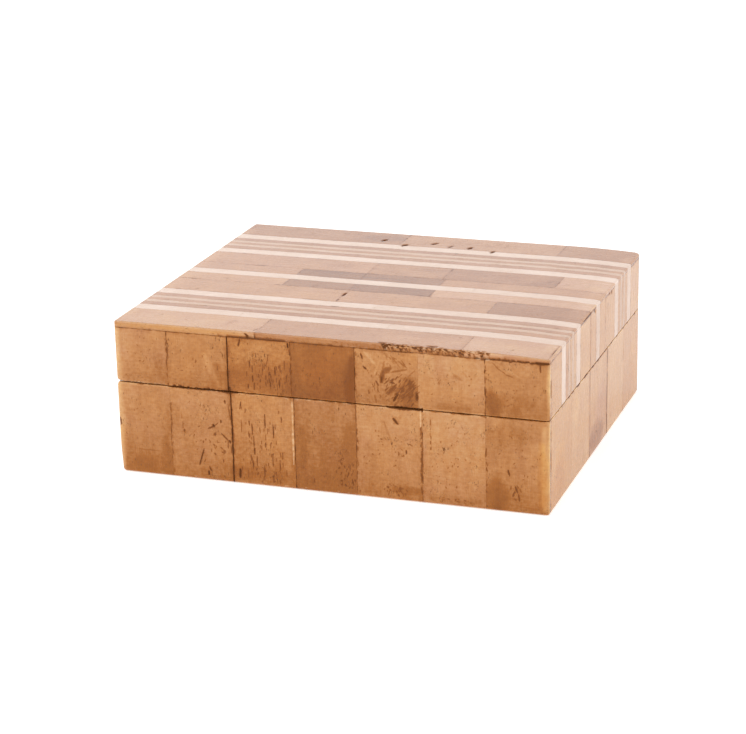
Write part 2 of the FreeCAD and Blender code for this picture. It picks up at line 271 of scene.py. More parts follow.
# What one mark of each kind adds: tone, hue, stain, wear, in metres how deep it is cut, and how
# much it darkens the bone around it
MARK_KINDS = {
    "pore": (-0.2, -0.2, 0.66, 0.0, 0.06 * MM, 0.04),
    "pit": (0.0, 0.0, 0.95, 0.0, 0.35 * MM, 0.12),
    "chip": (0.1, -0.2, 0.2, 0.45, 0.4 * MM, 0.0),
    "groove": (0.0, 0.0, 1.0, 0.0, 0.3 * MM, 0.08),
    "grime": (-0.12, -0.15, 0.9, 0.0, 0.05 * MM, 0.1),
    "fleck": (-0.18, -0.15, 0.5, 0.0, 0.03 * MM, 0.04),
    "dot": (-0.12, -0.1, 0.5, 0.0, 0.02 * MM, 0.0),
    "sliver": (0.25, 0.0, 0.0, 0.45, 0.0, 0.0),
    "streak": (0.14, 0.0, 0.0, 0.0, 0.0, 0.0),
    "smudge": (-0.26, -0.15, 0.1, 0.0, 0.0, 0.0),
    "glow": (0.4, -0.2, 0.0, 0.0, 0.0, 0.0),
    "shade": (-0.25, -0.15, 0.0, 0.0, 0.0, 0.0),
    "blush": (-0.08, 0.6, 0.0, 0.0, 0.0, 0.0),
    "ochre": (0.0, -0.8, 0.0, 0.0, 0.0, 0.0),
}

SOFT_KINDS = ("streak", "glow", "shade", "blush", "ochre")

# Where a mark starts to show and where it is full, in half widths from its middle line: clear
# marks, soft ones, and the darkened bone around a mark. Then how far any of it can reach.
MARK_FADE = (1.6, 0.35)
SOFT_MARK_FADE = (1.9, 0.1)
HALO_FADE = (3.6, 0.6)
mark_reach = 4

# How much narrower a mark is at its ends, and how uneven its outline is
mark_taper = 0.45
fine_raggedness = 0.35
coarse_raggedness = 0.25
soft_unevenness = 0.3

# Soft marks and smudges shorter than this stay on the tile that their middle lies on
stay_on_tile_length = 25 * MM
stay_on_tile_reach = 0.3 * MM

# One unit of the marks' lengths and widths below
mark_unit = 1.0 * MM

# Marks on the front: kind, place across, place down, length, width, lean from upright in
# degrees, strength. The places are shares of the front's width and height from its top left.
FRONT_MARK_SHARES = (
    ("grime", 0.2, 0.3985, 26.0, 0.7, 90, 0.9),
    ("grime", 0.27, 0.3985, 8.0, 1.2, 90, 1.0),
    ("fleck", 0.4, 0.3985, 20.0, 0.5, 90, 0.8),
    ("fleck", 0.605, 0.3985, 10.0, 0.6, 90, 0.9),
    ("groove", 0.678, 0.3985, 14.0, 1.3, 90, 1.0),
    ("fleck", 0.8, 0.3995, 12.0, 0.9, 90, 1.0),
    ("fleck", 0.93, 0.3995, 22.0, 0.7, 90, 0.8),
    ("grime", 0.34, 0.0405, 24.0, 0.5, 90, 0.6),
    ("grime", 0.985, 0.041, 5.0, 1.1, 90, 1.0),
    ("pit", 0.7185, 0.398, 1.2, 0.8, 0, 1.0),
    ("chip", 0.716, 0.38, 1.4, 0.6, 0, 1.0),
    ("pit", 0.273, 0.39, 2.4, 1.2, 0, 1.0),
    ("chip", 0.05, 0.39, 9.0, 0.6, 90, 0.9),
    ("chip", 0.105, 0.39, 3.0, 0.5, 90, 0.8),
    ("shade", 0.245, 0.31, 9.0, 5.0, 0, 0.45),
    ("shade", 0.345, 0.28, 20.0, 9.0, 90, 0.6),
    ("shade", 0.41, 0.29, 9.0, 9.0, 0, 0.6),
    ("shade", 0.557, 0.25, 18.0, 5.0, -4, 0.95),
    ("shade", 0.69, 0.3, 9.0, 9.0, 0, 0.85),
    ("shade", 0.79, 0.365, 12.0, 4.0, 90, 0.5),
    ("shade", 0.876, 0.33, 9.0, 6.0, 8, 1.15),
    ("shade", 0.93, 0.3, 12.0, 7.0, 90, 0.35),
    ("shade", 0.115, 0.28, 9.0, 4.0, 10, 0.3),
    ("shade", 0.115, 0.85, 14.0, 4.0, 0, 0.5),
    ("shade", 0.1, 0.92, 20.0, 8.0, 90, 0.5),
    ("shade", 0.31, 0.915, 8.0, 8.0, 90, 0.5),
    ("shade", 0.37, 0.92, 14.0, 6.0, 90, 0.35),
    ("shade", 0.439, 0.72, 16.0, 4.0, 0, 0.5),
    ("shade", 0.55, 0.68, 14.0, 7.0, 0, 0.5),
    ("shade", 0.595, 0.8, 16.0, 7.0, 0, 0.3),
    ("shade", 0.68, 0.93, 9.0, 5.0, 90, 0.6),
    ("shade", 0.79, 0.96, 18.0, 4.0, 90, 0.4),
    ("shade", 0.886, 0.88, 10.0, 8.0, 0, 0.65),
    ("glow", 0.77, 0.012, 46.0, 1.8, 90, 0.5),
    ("glow", 0.26, 0.022, 90.0, 1.6, 90, 0.25),
    # The next two glow marks lighten the bone near the left upright edge: painted highlight of its rounded corner
    ("glow", 0.03, 0.14, 10.0, 6.0, 0, 0.25),
    ("glow", 0.03, 0.48, 8.0, 6.0, 0, 0.25),
    ("glow", 0.965, 0.72, 26.0, 8.0, 0, 0.2),
    ("shade", 0.92, 0.5, 16.0, 11.0, 90, 0.4),
    ("ochre", 0.5, 0.25, 14.0, 16.0, 0, 0.5),
    ("streak", 0.232, 0.27, 14.0, 2.4, 26, 0.8),
    ("streak", 0.241, 0.31, 9.0, 0.7, 24, 0.7),
    ("pore", 0.247, 0.252, 2.0, 0.4, 5, 0.6),
    ("pore", 0.253, 0.299, 1.5, 0.4, 0, 0.6),
    ("pore", 0.129, 0.181, 4.5, 0.35, 0, 0.5),
    ("pore", 0.323, 0.205, 3.0, 0.45, 0, 0.8),
    ("pore", 0.329, 0.236, 2.5, 0.45, 0, 0.9),
    ("pore", 0.329, 0.299, 2.5, 0.5, 3, 1.0),
    ("pore", 0.332, 0.346, 3.0, 0.5, 0, 0.9),
    ("pore", 0.366, 0.157, 2.5, 0.35, 0, 0.7),
    ("pore", 0.382, 0.236, 3.5, 0.45, 0, 0.9),
    ("pore", 0.391, 0.315, 3.0, 0.45, 0, 0.9),
    ("pore", 0.405, 0.189, 2.5, 0.4, 0, 0.8),
    ("pore", 0.408, 0.283, 2.5, 0.45, 0, 0.8),
    ("pore", 0.371, 0.331, 2.5, 0.4, 0, 0.8),
    ("pore", 0.315, 0.268, 2.0, 0.35, 0, 0.6),
    ("pore", 0.354, 0.22, 3.0, 0.3, 0, 0.6),
    ("pore", 0.36, 0.283, 3.0, 0.35, 0, 0.7),
    ("pore", 0.394, 0.22, 3.0, 0.35, 0, 0.7),
    ("pore", 0.399, 0.346, 2.5, 0.4, 0, 0.8),
    ("pore", 0.318, 0.35, 1.8, 0.5, 0, 0.9),
    ("pore", 0.3, 0.071, 3.0, 0.7, -12, 0.9),
    ("pit", 0.414, 0.063, 1.8, 0.6, 0, 1.0),
    ("pore", 0.5835, 0.09, 2.2, 0.8, 20, 1.0),
    ("pore", 0.5905, 0.165, 1.4, 0.8, 50, 1.0),
    ("smudge", 0.633, 0.135, 3.0, 1.0, -10, 0.8),
    ("smudge", 0.6395, 0.165, 3.4, 2.4, -60, 1.3),
    ("smudge", 0.668, 0.163, 6.5, 0.8, -76, 0.9),
    ("smudge", 0.629, 0.21, 4.4, 1.8, -12, 1.4),
    ("fleck", 0.628, 0.228, 2.0, 0.9, 0, 1.2),
    ("fleck", 0.6175, 0.253, 2.0, 0.6, 30, 1.0),
    ("smudge", 0.619, 0.285, 3.0, 0.6, 0, 0.9),
    ("smudge", 0.6135, 0.355, 3.0, 0.7, 10, 0.9),
    ("fleck", 0.6595, 0.336, 3.2, 0.9, -32, 1.4),
    ("fleck", 0.652, 0.243, 1.8, 0.7, 80, 1.0),
    ("smudge", 0.652, 0.285, 5.0, 1.6, -40, 1.2),
    ("smudge", 0.675, 0.26, 8.0, 0.9, -40, 1.0),
    ("smudge", 0.683, 0.3, 7.0, 0.7, -38, 1.0),
    ("smudge", 0.693, 0.26, 6.0, 0.7, -42, 1.0),
    ("smudge", 0.664, 0.36, 5.0, 0.9, -40, 0.9),
    ("smudge", 0.7, 0.33, 6.0, 3.2, -30, 0.7),
    ("fleck", 0.708, 0.315, 2.6, 1.2, 0, 1.2),
    ("smudge", 0.66, 0.106, 6.0, 0.6, 40, 0.6),
    ("smudge", 0.676, 0.12, 4.0, 0.6, 55, 0.6),
    ("smudge", 0.648, 0.09, 5.0, 0.5, 40, 0.5),
    ("smudge", 0.69, 0.19, 7.0, 0.5, -45, 0.6),
    ("streak", 0.604, 0.105, 7.5, 1.0, 42, 1.2),
    ("streak", 0.617, 0.16, 6.0, 0.8, -20, 0.8),
    ("smudge", 0.799, 0.173, 3.5, 1.6, 60, 0.6),
    ("smudge", 0.815, 0.15, 3.0, 0.7, 40, 0.5),
    ("streak", 0.909, 0.1, 12.0, 0.5, 62, 0.6),
    ("fleck", 0.882, 0.075, 3.2, 0.3, 45, 0.8),
    ("fleck", 0.896, 0.108, 3.4, 0.3, 58, 0.8),
    ("fleck", 0.913, 0.133, 3.2, 0.3, 72, 0.8),
    ("chip", 0.865, 0.045, 2.0, 0.7, 90, 0.9),
    ("chip", 0.845, 0.043, 1.6, 0.6, 90, 0.8),
    ("pore", 0.98, 0.07, 3.0, 0.6, 5, 0.8),
    ("pit", 0.004, 0.66, 3.0, 0.8, 0, 0.9),
    ("fleck", 0.067, 0.838, 15.0, 0.3, 90, 0.5),
    # Painted highlight along the rounded left upright edge
    ("glow", 0.006, 0.5, 56.0, 4.2, 0, 0.4),
    ("pit", 0.2305, 0.632, 0.9, 1.0, 40, 0.9),
    ("fleck", 0.2245, 0.645, 2.6, 0.6, -65, 1.0),
    ("fleck", 0.238, 0.62, 1.8, 0.5, -50, 0.8),
    ("pore", 0.2485, 0.6, 1.2, 0.6, 0, 0.9),
    ("fleck", 0.2335, 0.686, 1.0, 0.9, 0, 0.9),
    ("pore", 0.26, 0.467, 1.4, 0.6, 10, 0.9),
    ("fleck", 0.257, 0.7, 3.4, 0.5, 48, 1.2),
    ("pit", 0.2685, 0.727, 1.0, 0.8, 20, 0.9),
    ("fleck", 0.2705, 0.55, 9.5, 0.45, 8, 0.9),
    ("fleck", 0.16, 0.68, 1.0, 0.8, 0, 0.9),
    ("pore", 0.219, 0.921, 1.8, 0.6, 20, 0.9),
    ("pit", 0.215, 0.95, 1.6, 0.7, 0, 0.9),
    ("pore", 0.264, 0.748, 3.0, 0.5, 0, 0.6),
    ("pore", 0.157, 0.646, 3.0, 0.4, 0, 0.5),
    ("pore", 0.155, 0.585, 2.0, 0.3, 0, 0.4),
    ("pore", 0.2, 0.846, 7.5, 0.5, -17, 1.0),
    ("pore", 0.298, 0.48, 3.2, 0.5, -10, 0.9),
    ("pore", 0.309, 0.512, 2.0, 0.4, -10, 0.8),
    ("pore", 0.323, 0.63, 4.5, 0.5, 0, 0.8),
    ("pore", 0.326, 0.709, 4.5, 0.45, 0, 0.8),
    ("pore", 0.327, 0.772, 2.5, 0.6, 0, 1.0),
    ("pore", 0.354, 0.567, 5.5, 0.5, 0, 0.9),
    ("pore", 0.373, 0.63, 5.5, 0.5, 0, 0.9),
    ("pore", 0.393, 0.551, 2.5, 0.4, 0, 0.8),
    ("pore", 0.354, 0.724, 2.0, 0.5, 0, 0.9),
    ("pore", 0.318, 0.819, 2.5, 0.4, 0, 0.8),
    ("pore", 0.323, 0.866, 3.0, 0.4, 0, 0.9),
    ("pore", 0.332, 0.835, 4.0, 0.4, 0, 0.8),
    ("pore", 0.35, 0.9, 5.0, 0.4, 0, 0.9),
    ("pore", 0.371, 0.819, 5.0, 0.4, 0, 0.9),
    ("pore", 0.388, 0.85, 4.5, 0.4, 0, 0.8),
    ("pore", 0.394, 0.787, 3.0, 0.4, 0, 0.8),
    ("pore", 0.371, 0.945, 3.0, 0.4, 0, 0.8),
    ("pore", 0.402, 0.9, 3.0, 0.4, 0, 0.7),
    ("pore", 0.298, 0.614, 5.0, 0.4, 0, 0.6),
    ("pit", 0.291, 0.93, 3.5, 0.9, 0, 1.0),
    ("sliver", 0.4195, 0.63, 26.0, 0.6, 0, 1.0),
    ("pore", 0.529, 0.787, 2.0, 0.4, 20, 0.6),
    ("pore", 0.546, 0.866, 2.5, 0.5, -20, 0.8),
    ("pore", 0.557, 0.913, 2.5, 0.6, 10, 0.9),
    ("pore", 0.551, 0.819, 2.0, 0.4, 0, 0.7),
    ("pore", 0.529, 0.724, 2.0, 0.35, 0, 0.5),
    ("pore", 0.467, 0.929, 1.5, 0.6, 0, 0.7),
    ("blush", 0.54, 0.87, 8.0, 10.0, 30, 0.15),
    ("smudge", 0.658, 0.48, 2.6, 2.6, 42, 0.45),
    ("fleck", 0.6575, 0.486, 2.8, 0.9, 42, 1.5),
    ("smudge", 0.668, 0.457, 1.2, 1.4, 0, 0.4),
    ("sliver", 0.7145, 0.45, 7.0, 0.5, 0, 0.8),
    ("fleck", 0.7375, 0.5, 8.0, 0.4, -3, 0.45),
    ("fleck", 0.7375, 0.6, 5.0, 0.4, 2, 0.35),
    ("pore", 0.681, 0.677, 1.6, 0.6, 0, 0.8),
    ("pore", 0.664, 0.693, 1.4, 0.5, 0, 0.6),
    ("pore", 0.692, 0.63, 1.4, 0.5, 60, 0.6),
    ("smudge", 0.64, 0.56, 9.0, 0.8, 20, 0.5),
    ("pore", 0.737, 0.472, 2.5, 0.4, 0, 0.8),
    ("pore", 0.738, 0.57, 1.2, 0.4, 0, 0.7),
    ("pore", 0.736, 0.6, 1.2, 0.4, 0, 0.7),
    ("pore", 0.737, 0.64, 1.2, 0.4, 0, 0.6),
    ("pore", 0.911, 0.748, 2.6, 0.6, 17, 1.0),
    ("pore", 0.928, 0.85, 2.5, 0.7, 20, 0.8),
    ("pore", 0.922, 0.88, 2.0, 0.6, -20, 0.7),
    ("pore", 0.934, 0.9, 2.5, 0.6, 10, 0.7),
    ("ochre", 0.985, 0.75, 25.0, 4.0, 0, 0.9),
    # Painted highlight along the rounded right upright edge of the front
    ("glow", 0.99, 0.7, 32.0, 3.0, 0, 0.6),
    ("chip", 0.329, 0.02, 2.4, 0.9, 90, 1.0),
    ("pit", 0.318, 0.018, 1.6, 0.6, 60, 0.9),
    ("pit", 0.338, 0.03, 1.4, 0.6, 20, 0.8),
    ("ochre", 0.14, 0.022, 60.0, 1.8, 90, 0.7),
    ("blush", 0.92, 0.024, 26.0, 1.4, 90, 0.25),
)

# Marks on the lid's top: as above, with places from the front left and lean from sideways
TOP_MARK_SHARES = (
    ("pit", 0.371, 0.918, 2.8, 1.4, 60, 1.0),
    ("pit", 0.433, 0.882, 3.0, 1.7, 60, 1.0),
    ("pit", 0.501, 0.92, 3.0, 1.3, 50, 1.0),
    ("pit", 0.546, 0.9, 3.6, 0.9, 70, 0.8),
    ("pit", 0.596, 0.9, 2.8, 1.6, 70, 1.0),
    ("pit", 0.658, 0.875, 2.8, 1.5, 70, 1.0),
    ("pit", 0.43, 0.377, 4.0, 0.7, 90, 1.0),
    ("blush", 0.371, 0.94, 16.0, 10.0, 0, 1.3),
    ("smudge", 0.259, 0.066, 6.0, 2.5, 70, 0.5),
    ("pore", 0.332, 0.025, 2.4, 0.6, 70, 0.9),
    ("pore", 0.658, 0.245, 3.0, 0.8, 0, 0.7),
    ("pore", 0.669, 0.056, 1.2, 0.6, 0, 0.7),
    ("pit", 0.74, 0.012, 4.0, 0.8, 0, 1.0),
    ("pit", 0.63, 0.008, 3.0, 0.7, 0, 0.9),
    ("pore", 0.86, 0.63, 4.0, 0.5, 60, 0.6),
    ("pore", 0.877, 0.62, 4.0, 0.5, 60, 0.6),
    ("pore", 0.89, 0.6, 5.0, 0.5, 50, 0.5),
    ("blush", 0.85, 0.61, 10.0, 8.0, 30, 0.7),
    ("blush", 0.36, 0.58, 20.0, 6.0, 0, 0.6),
    ("blush", 0.22, 0.68, 26.0, 3.0, 0, 0.5),
    ("blush", 0.62, 0.66, 30.0, 4.0, 0, 0.5),
    ("shade", 0.46, 0.545, 24.0, 2.0, 0, 0.5),
    ("groove", 0.9955, 0.06, 17.0, 0.35, 90, 0.7),
    ("glow", 0.012, 0.5, 130.0, 7.0, 90, 0.25),
    ("glow", 0.985, 0.5, 130.0, 9.0, 90, 0.3),
    ("glow", 0.8, 0.05, 60.0, 10.0, 0, 0.22),
    ("glow", 0.1, 0.06, 36.0, 12.0, 0, 0.15),
    ("shade", 0.366, 0.92, 8.0, 7.0, 0, 0.5),
    ("shade", 0.28, 0.64, 26.0, 12.0, 0, 0.25),
    ("shade", 0.55, 0.65, 14.0, 4.0, 0, 0.3),
)

# Marks on the right side: as above, with places from the top front corner and lean from upright
RIGHT_MARK_SHARES = (
    ("groove", 0.017, 0.205, 6.5, 0.8, 0, 1.0),
    ("pit", 0.018, 0.48, 1.2, 0.8, 0, 0.9),
    ("pit", 0.018, 0.52, 1.2, 0.8, 0, 0.9),
    ("groove", 0.018, 0.65, 9.0, 0.8, 0, 0.9),
    ("fleck", 0.018, 0.7, 37.0, 0.5, 0, 0.8),
    ("pit", 0.018, 0.945, 1.6, 0.8, 0, 0.9),
    ("groove", 0.394, 0.0175, 24.0, 0.5, 90, 1.0),
    ("pit", 0.46, 0.035, 3.0, 0.9, 40, 0.8),
    ("pit", 0.62, 0.037, 4.0, 0.8, 70, 0.8),
    ("pit", 0.65, 0.045, 3.0, 0.8, 40, 0.8),
    ("groove", 0.945, 0.03, 13.0, 0.9, 90, 0.9),
    ("shade", 0.49, 0.9, 20.0, 12.0, 90, 1.5),
    ("blush", 0.55, 0.8, 22.0, 22.0, 0, 0.8),
    ("shade", 0.6, 0.82, 20.0, 4.0, 0, 0.6),
    ("shade", 0.415, 0.7, 34.0, 3.0, 0, 0.5),
    # The next two glow marks: painted highlight along the rounded front corner of the right side
    ("glow", 0.009, 0.2, 22.0, 2.4, 0, 0.9),
    ("glow", 0.008, 0.7, 36.0, 2.2, 0, 0.9),
    ("ochre", 0.1, 0.85, 16.0, 22.0, 0, 0.8),
    ("shade", 0.1, 0.9, 10.0, 20.0, 0, 0.4),
    ("ochre", 0.93, 0.75, 24.0, 16.0, 0, 0.7),
    ("smudge", 0.48, 0.32, 5.0, 2.0, 30, 0.6),
    ("shade", 0.42, 0.2, 18.0, 3.0, 0, 0.4),
    ("shade", 0.2, 0.8, 12.0, 8.0, 0, 0.25),
    ("glow", 0.27, 0.54, 10.0, 9.0, 0, 0.2),
    ("glow", 0.43, 0.53, 10.0, 3.0, 0, 0.3),
    ("glow", 0.54, 0.54, 8.0, 10.0, 0, 0.15),
    ("shade", 0.47, 0.4, 42.0, 0.8, 90, 0.8),
)

# Scattered flecks: side, kind, middle across, middle down or back, width and height of their
# patch, how many, length, width, lean, how much it varies, strength
FLECK_SHARES = (
    ("front", "fleck", 0.688, 0.29, 9.0, 11.0, 54, 2.0, 0.4, -40, 12, 1.0),
    ("front", "fleck", 0.652, 0.27, 9.0, 12.0, 30, 1.8, 0.36, -38, 18, 0.9),
    ("front", "fleck", 0.615, 0.27, 9.0, 14.0, 16, 1.4, 0.35, 10, 25, 0.8),
    ("front", "fleck", 0.664, 0.11, 12.0, 6.0, 18, 1.6, 0.35, 45, 20, 0.7),
    ("front", "pore", 0.545, 0.86, 11.0, 14.0, 34, 1.2, 0.32, -12, 22, 0.75),
    ("front", "fleck", 0.66, 0.93, 12.0, 5.0, 26, 1.1, 0.4, 30, 50, 0.9),
    ("front", "pore", 0.375, 0.27, 18.0, 12.0, 46, 1.7, 0.32, 0, 8, 0.85),
    ("front", "pore", 0.235, 0.8, 12.0, 14.0, 22, 1.1, 0.4, 20, 50, 0.8),
    ("front", "pore", 0.345, 0.72, 23.0, 30.0, 46, 1.7, 0.3, 0, 6, 0.75),
    ("front", "fleck", 0.345, 0.93, 22.0, 7.0, 30, 1.4, 0.35, 0, 20, 0.8),
    ("front", "pore", 0.925, 0.87, 6.0, 8.0, 7, 1.3, 0.4, 10, 35, 0.6),
    ("front", "dot", 0.06, 0.22, 18.0, 18.0, 16, 0.7, 0.4, 0, 90, 0.8),
    ("front", "dot", 0.19, 0.25, 20.0, 16.0, 16, 0.7, 0.4, 0, 90, 0.8),
    ("front", "dot", 0.49, 0.22, 22.0, 18.0, 12, 0.6, 0.35, 0, 90, 0.7),
    ("front", "dot", 0.785, 0.24, 22.0, 16.0, 14, 0.7, 0.4, 0, 90, 0.8),
    ("front", "dot", 0.93, 0.24, 20.0, 16.0, 12, 0.7, 0.4, 0, 90, 0.8),
    ("front", "dot", 0.06, 0.72, 18.0, 30.0, 14, 0.6, 0.4, 0, 90, 0.8),
    ("front", "dot", 0.2, 0.65, 20.0, 28.0, 22, 0.7, 0.4, 0, 90, 0.8),
    ("front", "dot", 0.64, 0.66, 24.0, 30.0, 34, 0.7, 0.4, 20, 60, 0.9),
    ("front", "dot", 0.787, 0.7, 24.0, 34.0, 40, 0.7, 0.4, 0, 60, 0.9),
    ("front", "dot", 0.93, 0.65, 22.0, 34.0, 20, 0.8, 0.4, 0, 60, 0.8),
    ("front", "fleck", 0.79, 0.96, 18.0, 3.0, 14, 0.8, 0.5, 90, 60, 0.8),
    ("front", "pore", 0.42, 0.22, 1.2, 20.0, 14, 1.2, 0.45, 0, 20, 0.7),
    ("front", "fleck", 0.126, 0.2, 0.9, 20.0, 20, 1.8, 0.4, 0, 10, 0.7),
    ("front", "fleck", 0.13, 0.73, 0.9, 30.0, 22, 1.8, 0.4, 0, 8, 0.6),
    ("front", "fleck", 0.5685, 0.22, 0.8, 20.0, 12, 1.8, 0.4, 0, 8, 0.8),
    ("front", "fleck", 0.569, 0.72, 0.9, 34.0, 18, 1.6, 0.4, 0, 12, 0.7),
    ("front", "fleck", 0.7165, 0.7, 1.2, 36.0, 26, 2.2, 0.5, 0, 14, 1.0),
    ("front", "fleck", 0.275, 0.7, 1.2, 36.0, 28, 2.0, 0.6, 0, 12, 0.9),
    ("front", "fleck", 0.861, 0.7, 0.8, 34.0, 12, 1.4, 0.4, 0, 15, 0.8),
    ("front", "pore", 0.861, 0.2, 0.8, 19.0, 10, 1.4, 0.4, 0, 12, 0.7),
    ("front", "grime", 0.5, 0.0425, 176.0, 0.3, 70, 2.8, 0.32, 90, 4, 0.5),
    ("front", "grime", 0.9, 0.0415, 34.0, 0.7, 22, 2.0, 0.5, 90, 10, 0.7),
    ("front", "dot", 0.5, 0.023, 176.0, 2.0, 40, 1.0, 0.35, 90, 30, 0.5),
    ("front", "fleck", 0.5, 0.3995, 176.0, 0.6, 80, 2.4, 0.5, 90, 8, 0.9),
    ("front", "grime", 0.2, 0.3945, 27.0, 0.9, 22, 1.6, 0.7, 90, 30, 0.9),
    ("front", "chip", 0.075, 0.3945, 22.0, 0.7, 12, 2.0, 0.5, 90, 15, 0.8),
    ("front", "chip", 0.5, 0.404, 150.0, 0.5, 26, 2.6, 0.4, 90, 8, 0.5),
    ("front", "chip", 0.35, 0.985, 110.0, 1.2, 22, 1.2, 0.5, 90, 20, 0.5),
    ("right", "dot", 0.5, 0.2, 150.0, 22.0, 60, 0.8, 0.4, 0, 60, 0.7),
    ("right", "dot", 0.5, 0.7, 150.0, 34.0, 90, 0.8, 0.4, 0, 60, 0.8),
    ("right", "grime", 0.5, 0.3995, 150.0, 0.5, 60, 2.4, 0.5, 90, 10, 0.8),
    ("right", "fleck", 0.5, 0.8, 28.0, 18.0, 26, 1.2, 0.45, 20, 50, 0.8),
    ("top", "dot", 0.5, 0.5, 174.0, 148.0, 150, 1.0, 0.45, 0, 60, 0.6),
    ("top", "fleck", 0.5, 0.94, 174.0, 14.0, 30, 1.2, 0.5, 60, 60, 0.7),
)

# Seed of the scattered flecks
scatter_seed = 23

# The marks of each side, and the side's width and height
MARK_TABLES = {
    "front": (FRONT_MARK_SHARES, 2 * half_width, top_z),
    "top": (TOP_MARK_SHARES, 2 * half_width, 2 * half_depth),
    "right": (RIGHT_MARK_SHARES, 2 * half_depth, top_z),
}

# The porous stretch of the lid's front edge
POROUS_EDGE_SHARES = (0.63, 0.87)
porous_edge_pits = 420
porous_edge_height = 2.3 * MM
porous_edge_depth = 1.3 * MM
porous_pit_width = 0.42 * MM
porous_front_share = 0.75
POROUS_EDGE_KINDS = ("pit", "pit", "pore", "chip")
porous_edge_seed = 5

# How much clean bone shines, and how much of that dirt or dark bone takes away
bone_shine = 0.42
dirt_dullness = 0.38
dark_bone_dullness = 0.42
dullness_lost_per_tone = 0.9
bone_ior = 1.47

# How rough the bone is, how far its fibres swing that and what dirt adds, and how high its fine
# bumps are
bone_roughness = 0.26
fibre_roughness_swing = 0.06
dirt_roughness = 0.3
bone_bump = 0.03 * MM

# The bone's noises: scale across its grain, along it and into it, size of a lump, detail and
# roughness
BONE_NOISES = {
    "clouds": ((1.0, 1.0, 1.0), 12 * MM, 3.0, 0.55),
    "bands": ((1.0, 0.2, 1.0), 3.2 * MM, 3.0, 0.5),
    "fibres": ((1.0, 0.07, 1.0), 0.4 * MM, 2.0, 0.5),
    "mottle": ((1.0, 1.0, 1.0), 1.4 * MM, 4.0, 0.55),
    "patches": ((1.0, 1.0, 1.0), 7 * MM, 2.0, 0.5),
    "specks": ((1.0, 1.0, 1.0), 0.6 * MM, 1.0, 0.5),
    "dashes": ((1.0, 0.22, 1.0), 0.4 * MM, 1.0, 0.5),
    "grit": ((1.0, 1.0, 1.0), 0.5 * MM, 2.0, 0.5),
    "scratches": ((0.12, 1.0, 1.0), 0.6 * MM, 2.0, 0.5),
    "drifts": ((1.0, 1.0, 1.0), 9 * MM, 2.0, 0.5),
}

# How far each noise swings the tone of stained and of bleached bone
STAINED_SWINGS = {"clouds": 0.09, "bands": 0.1, "scratches": 0.08, "fibres": 0.01}
BLEACHED_SWINGS = {"clouds": 0.35, "bands": 0.2, "mottle": 0.1, "fibres": 0.05}

# The same for the mottle of stained bone: in a dense tile, and what full porosity adds
dense_mottle_swing = 0.095
porous_mottle_swing = 0.22

# Pores open where a noise rises past these limits, more so in a porous tile and in patches
SPECK_RISE = (0.73, 0.8)
DASH_RISE = (0.75, 0.81)
speck_strength = 0.6
porosity_gain = 0.12
porosity_start = -0.02
patch_swing = 0.25

# Dirt fills a mark or a joint where its stain, broken up by grit, rises past these limits
DIRT_RISE = (0.34, 0.62)
grit_swing = 0.3

# How much the stain around a mark darkens the bone, and over which strengths of the stain
STAIN_RISE = (0.02, 0.45)
stain_tone = -0.38

# Tones at which the colours of stained bone lie, from tea to pale honey
TONE_STOPS = (0.05, 0.35, 0.58, 0.78, 1.0)
hue_swing = 0.5

# Width of the camera's sensor, in millimetres
sensor_width = 36

# Lattice steps of the smooth random values
LATTICE_STEPS = np.array((73, 179, 283))
lattice_size = 4093
lattice_seed = 11


class BoneBoxSurface(bpy.types.PropertyGroup):
    front_cell: bpy.props.FloatProperty(
        name="Front cell", description="Mesh cell on the front", default=0.3 * MM, unit="LENGTH"
    )
    side_cell: bpy.props.FloatProperty(
        name="Side cell", description="Mesh cell on the right side", default=0.45 * MM, unit="LENGTH"
    )
    top_cell: bpy.props.FloatProperty(
        name="Top cell", description="Mesh cell across the top", default=0.55 * MM, unit="LENGTH"
    )
    hidden_cell: bpy.props.FloatProperty(
        name="Far cell", description="Mesh cell at the back and left", default=0.8 * MM, unit="LENGTH"
    )
    joint_ease: bpy.props.FloatProperty(
        name="Joint easing", description="Radius at a tile's joints", default=0.14 * MM, unit="LENGTH"
    )
    waviness: bpy.props.FloatProperty(
        name="Waviness",
        description="Depth of the hand-polished hollows",
        default=0.06 * MM,
        unit="LENGTH",
    )
    joint_wander: bpy.props.FloatProperty(
        name="Joint wander",
        description="How far joints stray from straight",
        default=0.16 * MM,
        unit="LENGTH",
    )


